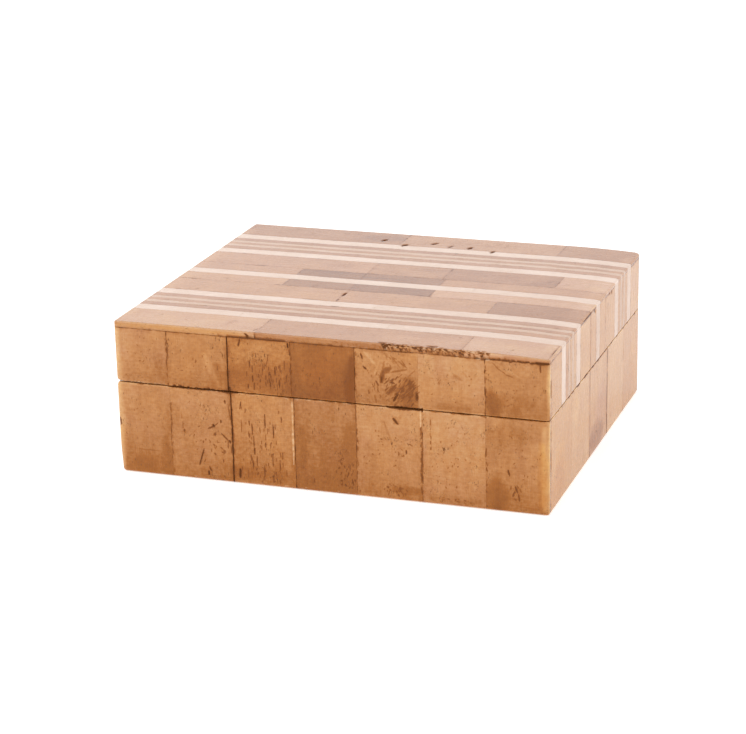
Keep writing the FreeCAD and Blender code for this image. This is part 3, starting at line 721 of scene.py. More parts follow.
class BoneBoxColours(bpy.types.PropertyGroup):
    tea: bpy.props.FloatVectorProperty(
        name="Tea",
        description="Darkest stained bone",
        subtype="COLOR",
        default=(0.19, 0.054, 0.004),
    )
    brown: bpy.props.FloatVectorProperty(
        name="Brown", description="Dark stained bone", subtype="COLOR", default=(0.3, 0.097, 0.009)
    )
    honey: bpy.props.FloatVectorProperty(
        name="Honey", description="Stained bone", subtype="COLOR", default=(0.43, 0.183, 0.054)
    )
    light_honey: bpy.props.FloatVectorProperty(
        name="Light honey",
        description="Light stained bone",
        subtype="COLOR",
        default=(0.515, 0.267, 0.107),
    )
    pale_honey: bpy.props.FloatVectorProperty(
        name="Pale honey",
        description="Palest stained bone",
        subtype="COLOR",
        default=(0.65, 0.4, 0.19),
    )
    mauve: bpy.props.FloatVectorProperty(
        name="Mauve tint",
        description="Tint of smoky patches",
        subtype="COLOR",
        default=(0.88, 0.84, 1.35),
    )
    ochre: bpy.props.FloatVectorProperty(
        name="Ochre tint",
        description="Tint of golden patches",
        subtype="COLOR",
        default=(1.06, 0.97, 0.52),
    )
    stain: bpy.props.FloatVectorProperty(
        name="Stain",
        description="Dirt in pores and joints",
        subtype="COLOR",
        default=(0.12, 0.04, 0.011),
    )
    worn: bpy.props.FloatVectorProperty(
        name="Worn",
        description="Bone where the stain has gone",
        subtype="COLOR",
        default=(0.82, 0.6, 0.38),
    )
    bleached: bpy.props.FloatVectorProperty(
        name="Bleached", description="Bleached bone", subtype="COLOR", default=(0.69, 0.52, 0.42)
    )
    bleached_shade: bpy.props.FloatVectorProperty(
        name="Bleached shade",
        description="Darker bleached bone",
        subtype="COLOR",
        default=(0.48, 0.28, 0.165),
    )
    wood: bpy.props.FloatVectorProperty(
        name="Wood", description="Carcass wood", subtype="COLOR", default=(0.3, 0.16, 0.08)
    )
    wood_grain: bpy.props.FloatVectorProperty(
        name="Wood grain",
        description="Grain of the carcass",
        subtype="COLOR",
        default=(0.16, 0.075, 0.035),
    )
    brass: bpy.props.FloatVectorProperty(
        name="Brass", description="Hinges and screws", subtype="COLOR", default=(0.72, 0.52, 0.22)
    )
    felt: bpy.props.FloatVectorProperty(
        name="Felt",
        description="Lining and underside",
        subtype="COLOR",
        default=(0.05, 0.02, 0.015),
    )


class BoneBoxStage(bpy.types.PropertyGroup):
    floor_size: bpy.props.FloatProperty(
        name="Floor", description="Side of the floor", default=10.0, unit="LENGTH"
    )
    floor_colour: bpy.props.FloatVectorProperty(
        name="Floor colour",
        description="Plain pale floor",
        subtype="COLOR",
        default=(0.93, 0.93, 0.93),
    )
    floor_glow: bpy.props.FloatProperty(
        name="Floor glow", description="Light that the floor gives back", default=0.45
    )
    low_sky_light: bpy.props.FloatProperty(
        name="Low sky", description="Strength of the white light near the horizon", default=1.1
    )
    high_sky_light: bpy.props.FloatProperty(
        name="High sky", description="Strength of the white light overhead", default=0.95
    )
    gloss_light: bpy.props.FloatProperty(
        name="Gloss light", description="How much stronger the light is in reflections", default=1.75
    )
    lamp_power: bpy.props.FloatProperty(
        name="Lamp power", description="Power of the soft lamp, in watts", default=3.0
    )
    lamp_size: bpy.props.FloatProperty(
        name="Lamp size", description="Side of the soft lamp", default=0.8, unit="LENGTH"
    )
    lamp_place: bpy.props.FloatVectorProperty(
        name="Lamp place",
        description="Where the soft lamp hangs",
        subtype="XYZ",
        default=(-0.5, -0.7, 0.9),
    )
    camera_azimuth: bpy.props.FloatProperty(
        name="Azimuth",
        description="Camera's angle round the box",
        default=math.radians(19.33),
        subtype="ANGLE",
    )
    camera_elevation: bpy.props.FloatProperty(
        name="Elevation",
        description="Camera's angle above the floor",
        default=math.radians(18.52),
        subtype="ANGLE",
    )
    camera_roll: bpy.props.FloatProperty(
        name="Roll", description="Camera's tilt", default=math.radians(-1.26), subtype="ANGLE"
    )
    camera_distance: bpy.props.FloatProperty(
        name="Distance", description="From the camera to the box", default=968.5 * MM, unit="LENGTH"
    )
    camera_offset: bpy.props.FloatVectorProperty(
        name="Offset", description="Box's place in the view", size=2, default=(6.79 * MM, 4.1 * MM)
    )
    camera_lens: bpy.props.FloatProperty(
        name="Lens", description="Focal length in millimetres", default=112.23
    )


def surface():
    return bpy.context.scene.bone_box_surface


def colours():
    return bpy.context.scene.bone_box_colours


def stage_settings():
    return bpy.context.scene.bone_box_stage


LATTICE_VALUES = np.random.default_rng(lattice_seed).uniform(-1, 1, lattice_size)


def drift(points, lump, seed=0):
    """Smooth random values from -1 to 1 over space, with lumps of about the given size. Each use
    has a seed of its own, so that no two run alike."""
    cells = points / lump
    base = np.floor(cells).astype(int)
    part = cells - base
    part = part * part * (3 - 2 * part)
    total = np.zeros(len(points))
    for corner in itertools.product((0, 1), repeat=3):
        chosen = ((base + corner) @ LATTICE_STEPS + seed) % lattice_size
        weight = np.prod(np.where(corner, part, 1 - part), axis=1)
        total += weight * LATTICE_VALUES[chosen]
    return total


def step(low, high, values):
    """Rises smoothly from 0 at low to 1 at high, or falls if low is the larger."""
    share = np.clip((values - low) / (high - low), 0, 1)
    return share * share * (3 - 2 * share)


def eased(first, second, radius):
    """Moves places, given by their depths from two faces that meet square, onto a rounded edge."""
    first_left = np.maximum(radius - first, 0)
    second_left = np.maximum(radius - second, 0)
    longest = np.maximum(first_left, second_left)
    length = np.hypot(first_left, second_left)
    shrink = 1 - longest / np.where(length > 0, length, 1)
    shrink = np.where(length > 0, shrink, 0)
    return first + first_left * shrink, second + second_left * shrink


def rounding_offsets(radius):
    """Where mesh lines lie so that a rounded edge is spaced evenly."""
    return [radius * (1 - math.tan(math.radians(angle))) for angle in (45, 30, 15, 0)]


def onto_outside(points, body):
    """Moves points of the square-edged box onto the rounded outside of the base or the lid."""
    x, y, z = points.T.copy()
    from_side = half_width - np.abs(x)
    from_end = half_depth - np.abs(y)
    foot_wear = np.exp(-(((z - foot_z) / worn_foot_reach) ** 2)) * (x < 0) * (y < 0)
    radius = corner_radius + (worn_foot_radius - corner_radius) * foot_wear
    radius = np.where((x > 0) & (y > 0), worn_back_corner_radius, radius)
    from_side, from_end = eased(from_side, from_end, radius)
    x = np.sign(x) * (half_width - from_side)
    y = np.sign(y) * (half_depth - from_end)
    into_x = np.abs(x) - (half_width - radius)
    into_y = np.abs(y) - (half_depth - radius)
    at_corner = (into_x > 0) & (into_y > 0)
    reach = np.hypot(into_x, into_y)
    near_side = half_width - np.abs(x) < half_depth - np.abs(y)
    inward = np.where(at_corner, radius - reach, np.minimum(from_side, from_end))
    out_x = np.where(at_corner, into_x / np.maximum(reach, near), near_side) * np.sign(x)
    out_y = np.where(at_corner, into_y / np.maximum(reach, near), ~near_side) * np.sign(y)
    corner_distance = np.hypot(x + half_width, y + half_depth)
    wear = np.exp(-((corner_distance / worn_rim_reach) ** 2))
    rim_radius = rim_edge_radius + (worn_rim_radius - rim_edge_radius) * wear
    if body == "base":
        edges = ((foot_z, 1, foot_edge_radius), (base_rim_z, -1, rim_radius))
        rim_z, rim_way = base_rim_z, -1
    else:
        edges = ((lid_rim_z, 1, rim_radius), (top_z, -1, top_edge_radius))
        rim_z, rim_way = lid_rim_z, 1
    for edge_z, way, radius in edges:
        height = way * (z - edge_z)
        moved, height = eased(inward, height, radius)
        x = x - out_x * (moved - inward)
        y = y - out_y * (moved - inward)
        z = edge_z + way * height
        inward = moved
    if body == "lid":
        end_share = np.clip(1 - (half_width - x) / end_sag_reach, 0, 1)
        height_share = np.clip((z - top_z + tile_thickness) / tile_thickness, 0, 1)
        z = z - end_sag * end_share**2 * height_share
    back, height = eased(half_depth - y, rim_way * (z - rim_z), hinge_edge_radius)
    return np.column_stack((x, half_depth - back, rim_z + rim_way * height))


def spaced(low, high, cell, low_offsets, high_offsets):
    """Places from low to high about a cell apart, closer near both ends."""
    first = low + max(low_offsets)
    last = high - max(high_offsets)
    middle = np.linspace(first, last, max(1, math.ceil((last - first) / cell)) + 1)
    places = np.concatenate((low + np.array(low_offsets), middle, high - np.array(high_offsets)))
    places = np.unique(np.round(places, 7))
    return places[(places >= low - near) & (places <= high + near)]


def solid_boxes(node):
    """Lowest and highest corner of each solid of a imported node, from front to back, then from
    left to right."""
    mesh = frame["nodes"][node].data
    places = np.empty(len(mesh.vertices) * 3, np.float32)
    mesh.vertices.foreach_get("co", places)
    places = places.reshape(-1, 3).astype(float)
    _, point = np.unique(np.round(places / near).astype(int), axis=0, return_inverse=True)
    ends = np.empty(len(mesh.edges) * 2, np.int32)
    mesh.edges.foreach_get("vertices", ends)
    ends = point.ravel()[ends].reshape(-1, 2)
    group = np.arange(point.max() + 1)
    while True:
        lowest = np.minimum(group[ends[:, 0]], group[ends[:, 1]])
        joined = group.copy()
        np.minimum.at(joined, ends[:, 0], lowest)
        np.minimum.at(joined, ends[:, 1], lowest)
        if (joined == group).all():
            break
        group = joined
    labels = group[point.ravel()]
    boxes = [
        (places[labels == label].min(axis=0), places[labels == label].max(axis=0))
        for label in np.unique(labels)
    ]
    return sorted(boxes, key=lambda box: (round(box[0][1] / MM), round(box[0][0] / MM)))


def side_limits(side, body):
    """For a side, along it and up it: where its tiles end, and whether they end at open air."""
    if side == "top":
        return (-half_width, half_width), (-half_depth, half_depth), (True, True, True, True)
    low_z = foot_z if body == "base" else lid_rim_z
    high_z = base_rim_z if body == "base" else top_z - tile_thickness
    if side in ("front", "back"):
        return (-half_width, half_width), (low_z, high_z), (True, True, True, body == "base")
    reach = half_depth - tile_thickness
    return (-reach, reach), (low_z, high_z), (False, False, True, body == "base")


class Tile:
    """One bone tile, laid out on its side of the box."""

    def __init__(self, node, number, box):
        self.node = node
        self.number = number
        self.body = body_of_node[node]
        words = node.split("_")
        self.side = "top" if words[0] == "top" else words[1]
        self.is_strip = "strip" in node
        self.is_bleached = self.is_strip and "dark" not in words
        self.along, self.up, self.out = (np.array(way, float) for way in SIDES[self.side])
        corners = np.array(box)
        self.u = tuple(np.sort(corners @ self.along))
        self.v = tuple(np.sort(corners @ self.up))
        self.outer = (corners @ self.out).max()
        self.thickness = np.ptp(corners @ self.out)

    def gaps_around(self, others):
        """Along the tile's four edges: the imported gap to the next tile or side, which the two
        share out if both can grow, and whether the edge is the box's own."""
        limits_u, limits_v, is_outer = side_limits(self.side, self.body)
        ends = (self.u[0], self.u[1], self.v[0], self.v[1])
        limits = limits_u + limits_v
        gaps = []
        for edge, (end, limit) in enumerate(zip(ends, limits)):
            if is_outer[edge] and abs(end - limit) < near:
                gaps.append(None)
                continue
            gap, shared = abs(limit - end), False
            for other in others:
                mine, theirs = (self.v, other.v) if edge < 2 else (self.u, other.u)
                if min(mine[1], theirs[1]) - max(mine[0], theirs[0]) < near:
                    continue
                facing = (other.u if edge < 2 else other.v)[1 - edge % 2]
                distance = (facing - end) * (1 if edge % 2 else -1)
                if near < distance < gap:
                    gap, shared = distance, True
            gaps.append((gap, shared))
        return gaps

    def placed(self, u, v, depth):
        """Points in space, from places on the tile's side and depths below its face."""
        return (
            u[:, None] * self.along
            + v[:, None] * self.up
            + (self.outer - depth)[:, None] * self.out
        )


def tiles_of(nodes):
    return [
        Tile(node, number, box)
        for node in nodes
        for number, box in enumerate(solid_boxes(node))
    ]


def mark_place(side, across_share, down_share):
    """A place on a side: shares of its size from the top left, or for the top the front left."""
    _, width, height = MARK_TABLES[side]
    along, up, _ = (np.array(way, float) for way in SIDES[side])
    corner = np.array((half_width if side == "right" else -half_width, -half_depth, top_z))
    way = 1 if side == "top" else -1
    return corner + along * across_share * width + way * up * down_share * height


def mark_way(side, lean):
    """A mark's direction, from its lean in degrees."""
    along, up, _ = (np.array(way, float) for way in SIDES[side])
    angle = math.radians(lean)
    if side == "top":
        return along * math.cos(angle) + up * math.sin(angle)
    return along * math.sin(angle) - up * math.cos(angle)


def listed_marks():
    """The marks of the tables: kind, centre, direction, half length, half width, strength."""
    found = []
    for side, (rows, _, _) in MARK_TABLES.items():
        for kind, across_share, down_share, length, thickness, lean, strength in rows:
            place = mark_place(side, across_share, down_share)
            half_sizes = (length * mark_unit / 2, thickness * mark_unit / 2)
            found.append((kind, place, mark_way(side, lean), *half_sizes, strength))
    return found


def scattered_marks():
    """The flecks of the patches, thinning out towards each patch's rim."""
    random = np.random.default_rng(scatter_seed)
    found = []
    for side, kind, across, down, wide, high, count, length, thickness, lean, vary, strength in FLECK_SHARES:
        along, up, _ = (np.array(way, float) for way in SIDES[side])
        middle = mark_place(side, across, down)
        for _ in range(count):
            spread = random.uniform(-1, 1, 2) * random.uniform(0.55, 1.0)
            place = middle + mark_unit * (along * spread[0] * wide / 2 + up * spread[1] * high / 2)
            size = random.uniform(0.45, 1.35)
            half_length = length * size * mark_unit / 2
            half_thickness = thickness * random.uniform(0.7, 1.3) * mark_unit / 2
            way = mark_way(side, lean + random.uniform(-vary, vary))
            faded = strength * random.uniform(0.6, 1.0)
            found.append((kind, place, way, half_length, half_thickness, faded))
    return found


def porous_edge_marks():
    """Small pits scattered along the worn stretch of the lid's front edge."""
    random = np.random.default_rng(porous_edge_seed)
    found = []
    for _ in range(porous_edge_pits):
        share = POROUS_EDGE_SHARES[0] + np.ptp(POROUS_EDGE_SHARES) * random.uniform(0, 1) ** 1.3
        width = porous_pit_width * random.uniform(0.6, 1.5)
        length = width * random.uniform(0.6, 2.6)
        kind = POROUS_EDGE_KINDS[random.integers(len(POROUS_EDGE_KINDS))]
        x = -half_width + share * 2 * half_width
        if random.random() < porous_front_share:
            place = (x, -half_depth, top_z - random.uniform(0, 1) ** 1.2 * porous_edge_height)
        else:
            place = (x, -half_depth + random.uniform(0, 1) ** 2 * porous_edge_depth, top_z)
        lean = random.uniform(-0.9, 0.9)
        way = np.array((math.cos(lean), 0, math.sin(lean)))
        found.append((kind, np.array(place), way, length / 2, width / 2, random.uniform(0.5, 1.0)))
    return found


MARKS = listed_marks() + scattered_marks() + porous_edge_marks()


def marks_near(low, high):
    """The marks that may reach a tile."""
    found = []
    for mark in MARKS:
        kind, place, _, half_length, half_width_of_mark, _ = mark
        reach = half_length + mark_reach * half_width_of_mark
        if kind in (*SOFT_KINDS, "smudge") and half_length < stay_on_tile_length / 2:
            reach = stay_on_tile_reach
        if (place > low - reach).all() and (place < high + reach).all():
            found.append(mark)
    return found


def mark_effects(points, marks):
    """What the marks add at each point: tone, hue, stain, wear and depth."""
    raised = np.zeros((len(points), 5))
    lowered = np.zeros((len(points), 5))
    halo = np.zeros(len(points))
    if not marks:
        return raised
    ragged = 1 + fine_raggedness * drift(points, 0.9 * MM, 31)
    ragged = ragged + coarse_raggedness * drift(points, 2.6 * MM, 37)
    uneven = 1 + soft_unevenness * drift(points, 5 * MM, 39)
    for kind, place, way, half_length, half_width_of_mark, strength in marks:
        offset = points - place
        run = offset @ way
        beyond = run - np.clip(run, -half_length, half_length)
        across = np.linalg.norm(offset - np.outer(run, way), axis=1)
        taper = 1 - mark_taper * np.abs(np.clip(run / max(half_length, near), -1, 1)) ** 2
        distance = np.hypot(beyond, across) / (half_width_of_mark * taper)
        if kind in SOFT_KINDS:
            share = step(*SOFT_MARK_FADE, distance / uneven) * strength
        else:
            share = step(*MARK_FADE, distance / ragged) * strength
        *effect, darkening = MARK_KINDS[kind]
        effect = np.array(effect)
        raised = np.maximum(raised, share[:, None] * np.maximum(effect, 0))
        lowered = np.minimum(lowered, share[:, None] * np.minimum(effect, 0))
        halo = np.maximum(halo, darkening * strength * step(*HALO_FADE, distance))
    total = raised + lowered
    total[:, 0] -= halo
    return total


def pocket_lift(points, tile):
    """How far the rim of a back tile is cut away where a hinge barrel lies."""
    lift = np.zeros(len(points))
    if tile.side != "back":
        return lift
    way = 1 if tile.body == "lid" else -1
    rim_z = lid_rim_z if tile.body == "lid" else base_rim_z
    for pin in ("left_hinge_pin", "right_hinge_pin"):
        low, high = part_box(pin)
        inside = (points[:, 0] > low.x - knuckle_gap) & (points[:, 0] < high.x + knuckle_gap)
        across = np.clip(np.abs(points[:, 1] - hinge_axis.y), 0, hinge_pocket_radius)
        cut_z = hinge_axis.z + way * np.sqrt(hinge_pocket_radius**2 - across**2)
        above = way * (points[:, 2] - rim_z)
        depth = np.maximum(way * (cut_z - rim_z), 0)
        moved = depth * np.clip(1 - above / hinge_pocket_reach, 0, 1)
        lift = np.where(inside & (above < hinge_pocket_reach), way * moved, lift)
    return lift


def pocket_lines(tile):
    """Mesh lines at the ends of the hinge pockets in a back tile."""
    lines = []
    if tile.side == "back":
        for pin in ("left_hinge_pin", "right_hinge_pin"):
            low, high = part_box(pin)
            for x in (low.x - knuckle_gap, high.x + knuckle_gap):
                for place in (-x - near, -x + near):
                    if tile.u[0] < place < tile.u[1]:
                        lines.append(place)
    return lines


def tile_cells(tile):
    """How wide and how tall the tile's mesh cells are."""
    sizes = surface()
    if tile.side == "front":
        return sizes.front_cell, sizes.front_cell
    if tile.side == "right":
        return sizes.side_cell, sizes.side_cell
    if tile.side == "top":
        return sizes.top_cell, sizes.top_cell * top_cell_stretch
    return sizes.hidden_cell, sizes.hidden_cell


def edge_radii(tile, edge):
    """Radii of the rounding that meets an edge of the box."""
    if tile.side == "top":
        return (corner_radius, top_edge_radius)
    if edge < 2:
        return (corner_radius,)
    if tile.body == "base" and edge == 2:
        return (foot_edge_radius,)
    return (hinge_edge_radius,) if tile.side == "back" else (rim_edge_radius,)


def wear_highlight_reach(tile, edge):
    """How far in from one of the box's own edges the bone is worn pale and painted lighter as a highlight."""
    if tile.side == "front" and edge < 2:
        return FRONT_WEAR_HIGHLIGHT_REACHES[edge]
    if tile.side == "top":
        return top_right_wear_highlight_reach if edge == 1 else top_wear_highlight_reach
    return other_wear_highlight_reach


def joint_shares(tile, edge):
    """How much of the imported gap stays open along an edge, and how dirty the joint is."""
    stem, _, number = tile.node.rpartition("_")
    if stem in FRONT_JOINT_SHARES and edge < 2:
        return FRONT_JOINT_SHARES[stem][int(number) - 2 + edge]
    if tile.side == "top":
        return STRIP_JOINT_SHARE if tile.is_strip else TOP_JOINT_SHARE
    if edge == 3:
        return under_top_shares(tile)
    if tile.side == "right":
        at_corner = tile.u[0] < -half_depth + 2 * tile_thickness and edge == 0
        at_back = tile.u[1] > half_depth - 2 * tile_thickness and edge == 1
        if at_corner or at_back:
            return CORNER_JOINT_SHARE
        if tile.body == "base" and edge < 2:
            return RIGHT_JOINT_SHARES[int(number) - 2 + edge]
        return LID_SIDE_JOINT_SHARE
    return HIDDEN_JOINT_SHARE


def under_top_shares(tile):
    """The same for the joint between the lid's sides and the top tiles above them."""
    if tile.side in ("right", "left"):
        depth = half_depth + (np.mean(tile.u) if tile.side == "right" else -np.mean(tile.u))
        is_narrow = tile.u[1] - tile.u[0] < narrow_tile_width
        if tile.is_strip or is_narrow or CLOSED_STRETCH[0] < depth < CLOSED_STRETCH[1]:
            return UNDER_STRIP_JOINT_SHARE
    return UNDER_TOP_JOINT_SHARE


def perimeter(columns, rows):
    """The grid's border, counter-clockwise from its lower left, and each point's edges."""
    loop, edges = [], []
    for i in range(columns - 1):
        loop.append(i)
        edges.append((2, 0) if i == 0 else (2,))
    for j in range(rows - 1):
        loop.append(j * columns + columns - 1)
        edges.append((1, 2) if j == 0 else (1,))
    for i in range(columns - 1, 0, -1):
        loop.append((rows - 1) * columns + i)
        edges.append((3, 1) if i == columns - 1 else (3,))
    for j in range(rows - 1, 0, -1):
        loop.append(j * columns)
        edges.append((0, 3) if j == rows - 1 else (0,))
    return np.array(loop), edges


def tile_levels(tile, gaps, joint_ease):
    """Depths of the rings down the tile's sides."""
    levels = {joint_ease, tile.thickness}
    for edge, gap in enumerate(gaps):
        if gap is None:
            for radius in edge_radii(tile, edge):
                levels.update(rounding_offsets(radius)[1:])
    kept = []
    for level in sorted(levels):
        if level > near and (not kept or level - kept[-1] > ring_spacing):
            kept.append(level)
    kept[-1] = tile.thickness
    return kept


class Slab:
    """The mesh of a flat slab: a grid on its face, rings down its sides and one back face."""

    def __init__(self, columns, rows, levels):
        grid_u, grid_v = (part.ravel() for part in np.meshgrid(columns, rows))
        self.shape = (len(columns), len(rows))
        self.levels = levels
        self.count = len(grid_u)
        self.loop, self.loop_edges = perimeter(*self.shape)
        self.u = np.concatenate([grid_u] + [grid_u[self.loop]] * len(levels))
        self.v = np.concatenate([grid_v] + [grid_v[self.loop]] * len(levels))
        rings = [np.full(len(self.loop), level) for level in levels]
        self.depth = np.concatenate([np.zeros(self.count)] + rings)

    def ring(self, number):
        """The points of one ring, in the border's order."""
        return self.count + number * len(self.loop) + np.arange(len(self.loop))

    def faces(self, first=0):
        """Quads of the face and of the rings, and the one face at the back."""
        columns, rows = self.shape
        index = np.arange(self.count).reshape(rows, columns)
        corners = (index[:-1, :-1], index[:-1, 1:], index[1:, 1:], index[1:, :-1])
        quads = np.column_stack([corner.ravel() for corner in corners])
        upper = self.loop
        for number in range(len(self.levels)):
            lower = self.ring(number)
            band = np.column_stack((upper, lower, np.roll(lower, -1), np.roll(upper, -1)))
            quads = np.concatenate((quads, band))
            upper = lower
        return quads + first, upper[::-1] + first


def closed_ends(tile, gaps):
    """Where the tile ends once its joints have closed, and how rounded and dirty its edges are."""
    joint_ease = surface().joint_ease
    ends = [*tile.u, *tile.v]
    stem, _, number = tile.node.rpartition("_")
    if stem in FRONT_JOINT_NUDGES:
        for edge in (0, 1):
            if gaps[edge]:
                ends[edge] += FRONT_JOINT_NUDGES[stem][int(number) - 2 + edge]
    eases = [joint_ease] * 4
    dirts = [0.0] * 4
    for edge, gap in enumerate(gaps):
        if gap is not None:
            share, dirts[edge] = joint_shares(tile, edge)
            growth = gap[0] * (1 - share) * (0.5 if gap[1] else 1.0)
            ends[edge] += growth if edge % 2 else -growth
            eases[edge] = joint_ease * (clean_ease_share + (1 - clean_ease_share) * dirts[edge])
    return ends, eases, dirts


def tile_lines(tile, gaps, ends, eases):
    """Mesh lines up and across the tile, closer where its edges are rounded."""
    offsets = []
    for edge, gap in enumerate(gaps):
        if gap is None:
            lines = {0.0}
            for radius in edge_radii(tile, edge):
                lines.update(rounding_offsets(radius))
            offsets.append(sorted(lines))
        else:
            ease = eases[edge]
            offsets.append([0.0, ease * (1 - math.tan(math.radians(22.5))), ease, 2.2 * ease])
    cell_u, cell_v = tile_cells(tile)
    columns = spaced(ends[0], ends[1], cell_u, offsets[0], offsets[1])
    columns = np.unique(np.concatenate((columns, pocket_lines(tile))))
    rows = spaced(ends[2], ends[3], cell_v, offsets[2], offsets[3])
    return columns, rows


def worn_away(tile, gaps, slab, relief, hollows):
    """How far each point sinks below the face, and how far it moves in from the box's edges."""
    down = np.zeros(len(relief))
    down[: slab.count] = relief[: slab.count] + hollows[: slab.count]
    border_down = down[slab.loop]
    fades = [1 - level / tile.thickness for level in slab.levels]
    for number, fade in enumerate(fades):
        down[slab.ring(number)] = border_down * fade
    shift = np.zeros((len(relief), 2))
    inward = ((1, 0), (-1, 0), (0, 1), (0, -1))
    for place, (index, edges) in enumerate(zip(slab.loop, slab.loop_edges)):
        for edge in edges:
            if gaps[edge] is None:
                where = [index] + [slab.ring(number)[place] for number in range(len(fades))]
                shift[where] += np.outer(relief[where] * np.array([1.0] + fades), inward[edge])
    return down, shift


def wandered(tile, points, u, v):
    """Lets the joints stray from straight, away from the ends of the tile's side."""
    wander = surface().joint_wander
    limits_u, limits_v, _ = side_limits(tile.side, tile.body)
    fade_u = step(0, wander_fade, np.minimum(u - limits_u[0], limits_u[1] - u))
    fade_v = step(0, wander_fade, np.minimum(v - limits_v[0], limits_v[1] - v))
    points = points + (wander * fade_u * drift(points, 11 * MM, 51))[:, None] * tile.along
    return points + (wander * fade_v * drift(points, 13 * MM, 53))[:, None] * tile.up


def edge_looks(tile, gaps, dirts, points, distances, depth):
    """Dirt in the tile's joints, wear with a painted highlight on the box's own edges, and painted shade beside
    the joints.
    """
    joint_dirt = np.zeros(len(points))
    edge_wear_and_highlight = np.zeros(len(points))
    painted_joint_shade = np.zeros(len(points))
    for edge, (gap, dirt, distance) in enumerate(zip(gaps, dirts, distances)):
        if gap is None:
            # Worn pale bone and a painted highlight along the box's own rounded edges
            reach = wear_highlight_reach(tile, edge) * (0.7 + 0.5 * drift(points, 6 * MM, 73))
            edge_wear_and_highlight = np.maximum(edge_wear_and_highlight, step(reach, 0.2 * reach, distance + depth))
            continue
        patchy = np.clip(dirt + 0.8 * drift(points, 1.3 * MM, 61), 0, 1)
        patchy *= np.clip(dirt + 0.5 + 0.8 * drift(points, 5 * MM, 67), 0, 1)
        clean_reach, dirty_reach = JOINT_DIRT_REACHES
        reach = (clean_reach + dirty_reach * dirt) * (1 + 0.5 * drift(points, 2.2 * MM, 69)) * MM
        joint_dirt = np.maximum(joint_dirt, patchy * step(reach, 0, distance))
        in_joint = (distance < joint_wall_reach) & (depth > joint_wall_depth)
        joint_dirt = np.where(in_joint, np.maximum(joint_dirt, dirt), joint_dirt)
        # Painted shade in patches beside the joint, stronger beside dirtier joints
        patchy_joint_shade = np.clip(0.5 + 0.9 * drift(points, 5 * MM, 77), 0, 1) * dirt
        painted_joint_shade = np.maximum(painted_joint_shade, patchy_joint_shade * step(joint_shade_reach, 0, distance))
    return joint_dirt, edge_wear_and_highlight, painted_joint_shade


def shading(tile, v, depth, from_foot):
    """How much darker each point is: on the cut ends of the top tiles, and down the others."""
    if tile.side in ("front", "back"):
        down_share = (tile.v[1] - v) / (tile.v[1] - tile.v[0])
        darker = foot_darkening * step(0.5, 1.05, down_share)
        return darker - top_lightening * step(0.5, 0, down_share)
    is_cut_end = (tile.side == "top") & (depth > cut_end_depth) & (from_foot < cut_end_depth)
    return np.where(is_cut_end, cut_end_shade, 0.0)


def texture_place(tile, seed, u, v, depth):
    """Where each point lies in the bone: across its grain, along it and into it."""
    across, along = (v, u) if tile.side == "top" else (u, v)
    if tile.side in ("right", "left"):
        along = half_width + (top_z - v)
        across = u if tile.side == "right" else -u
    offset = np.zeros(3)
    if not tile.is_strip:
        offset = np.random.default_rng(seed).uniform(-1, 1, 3)
    return np.column_stack((across, along, depth)) + offset


def bone_tile(tile, gaps, seed):
    """One tile's mesh, its points and their values, with its marks cut into it."""
    ends, eases, dirts = closed_ends(tile, gaps)
    slab = Slab(*tile_lines(tile, gaps, ends, eases), tile_levels(tile, gaps, min(eases)))
    flat_points = tile.placed(slab.u, slab.v, slab.depth)
    marks = marks_near(flat_points.min(axis=0), flat_points.max(axis=0))
    effects = mark_effects(flat_points, marks)
    hollows = surface().waviness * (0.5 + 0.5 * drift(flat_points, 9 * MM, 3 + seed))
    down, shift = worn_away(tile, gaps, slab, effects[:, 4], hollows)
    u = slab.u + shift[:, 0]
    v = slab.v + shift[:, 1]
    depth = slab.depth + down
    distances = [u - ends[0], ends[1] - u, v - ends[2], ends[3] - v]
    unevenness = 1 + 0.6 * drift(flat_points, 1.5 * MM, 41)
    for edge, gap in enumerate(gaps):
        if gap is not None:
            before = distances[edge]
            after, depth = eased(before, depth, eases[edge] * unevenness)
            moved = (after - before) * (-1 if edge % 2 else 1)
            if edge < 2:
                u = u + moved
            else:
                v = v + moved
    points = wandered(tile, tile.placed(u, v, depth), u, v)
    points[:, 2] += pocket_lift(points, tile)
    joint_dirt, edge_wear_and_highlight, painted_joint_shade = edge_looks(tile, gaps, dirts, points, distances, depth)
    tone, hue, pores = tile_look(tile, seed)
    # The painted highlight on worn edges lightens the tone, and the painted shade beside joints darkens it
    tone = tone + effects[:, 0] + WORN_EDGE_HIGHLIGHT_EFFECT[0] * edge_wear_and_highlight + JOINT_SHADE_EFFECT[0] * painted_joint_shade
    values = {
        "tone": tone - shading(tile, v, depth, distances[2]),
        "hue": hue + effects[:, 1] + WORN_EDGE_HIGHLIGHT_EFFECT[1] * edge_wear_and_highlight + JOINT_SHADE_EFFECT[1] * painted_joint_shade,
        "stain": np.clip(np.maximum(effects[:, 2], 0.8 * joint_dirt), 0, 1),
        "worn": np.clip(effects[:, 3] * (0.6 + 0.8 * drift(points, 0.8 * MM, 71)), 0, 1),
        "pores": np.full(len(points), pores),
        "place": texture_place(tile, seed, u, v, depth),
    }
    return slab, onto_outside(points, tile.body), values


def tile_look(tile, seed):
    """Tone, hue and how porous a tile is, from the table, or drawn for the unseen sides."""
    looks = LOOK_SHARES.get(tile.node)
    if looks:
        return looks[tile.number]
    random = np.random.default_rng(1000 + seed)
    if tile.is_bleached:
        return 0.02 if "light" in tile.node else 0.5 + 0.15 * random.random(), 0.0, 0.1
    if tile.is_strip or tile.u[1] - tile.u[0] < dark_strip_width:
        return random.uniform(0.4, 0.5), random.uniform(0.45, 0.65), 0.1
    return random.uniform(0.46, 0.7), random.uniform(-0.1, 0.2), random.uniform(0.1, 0.4)


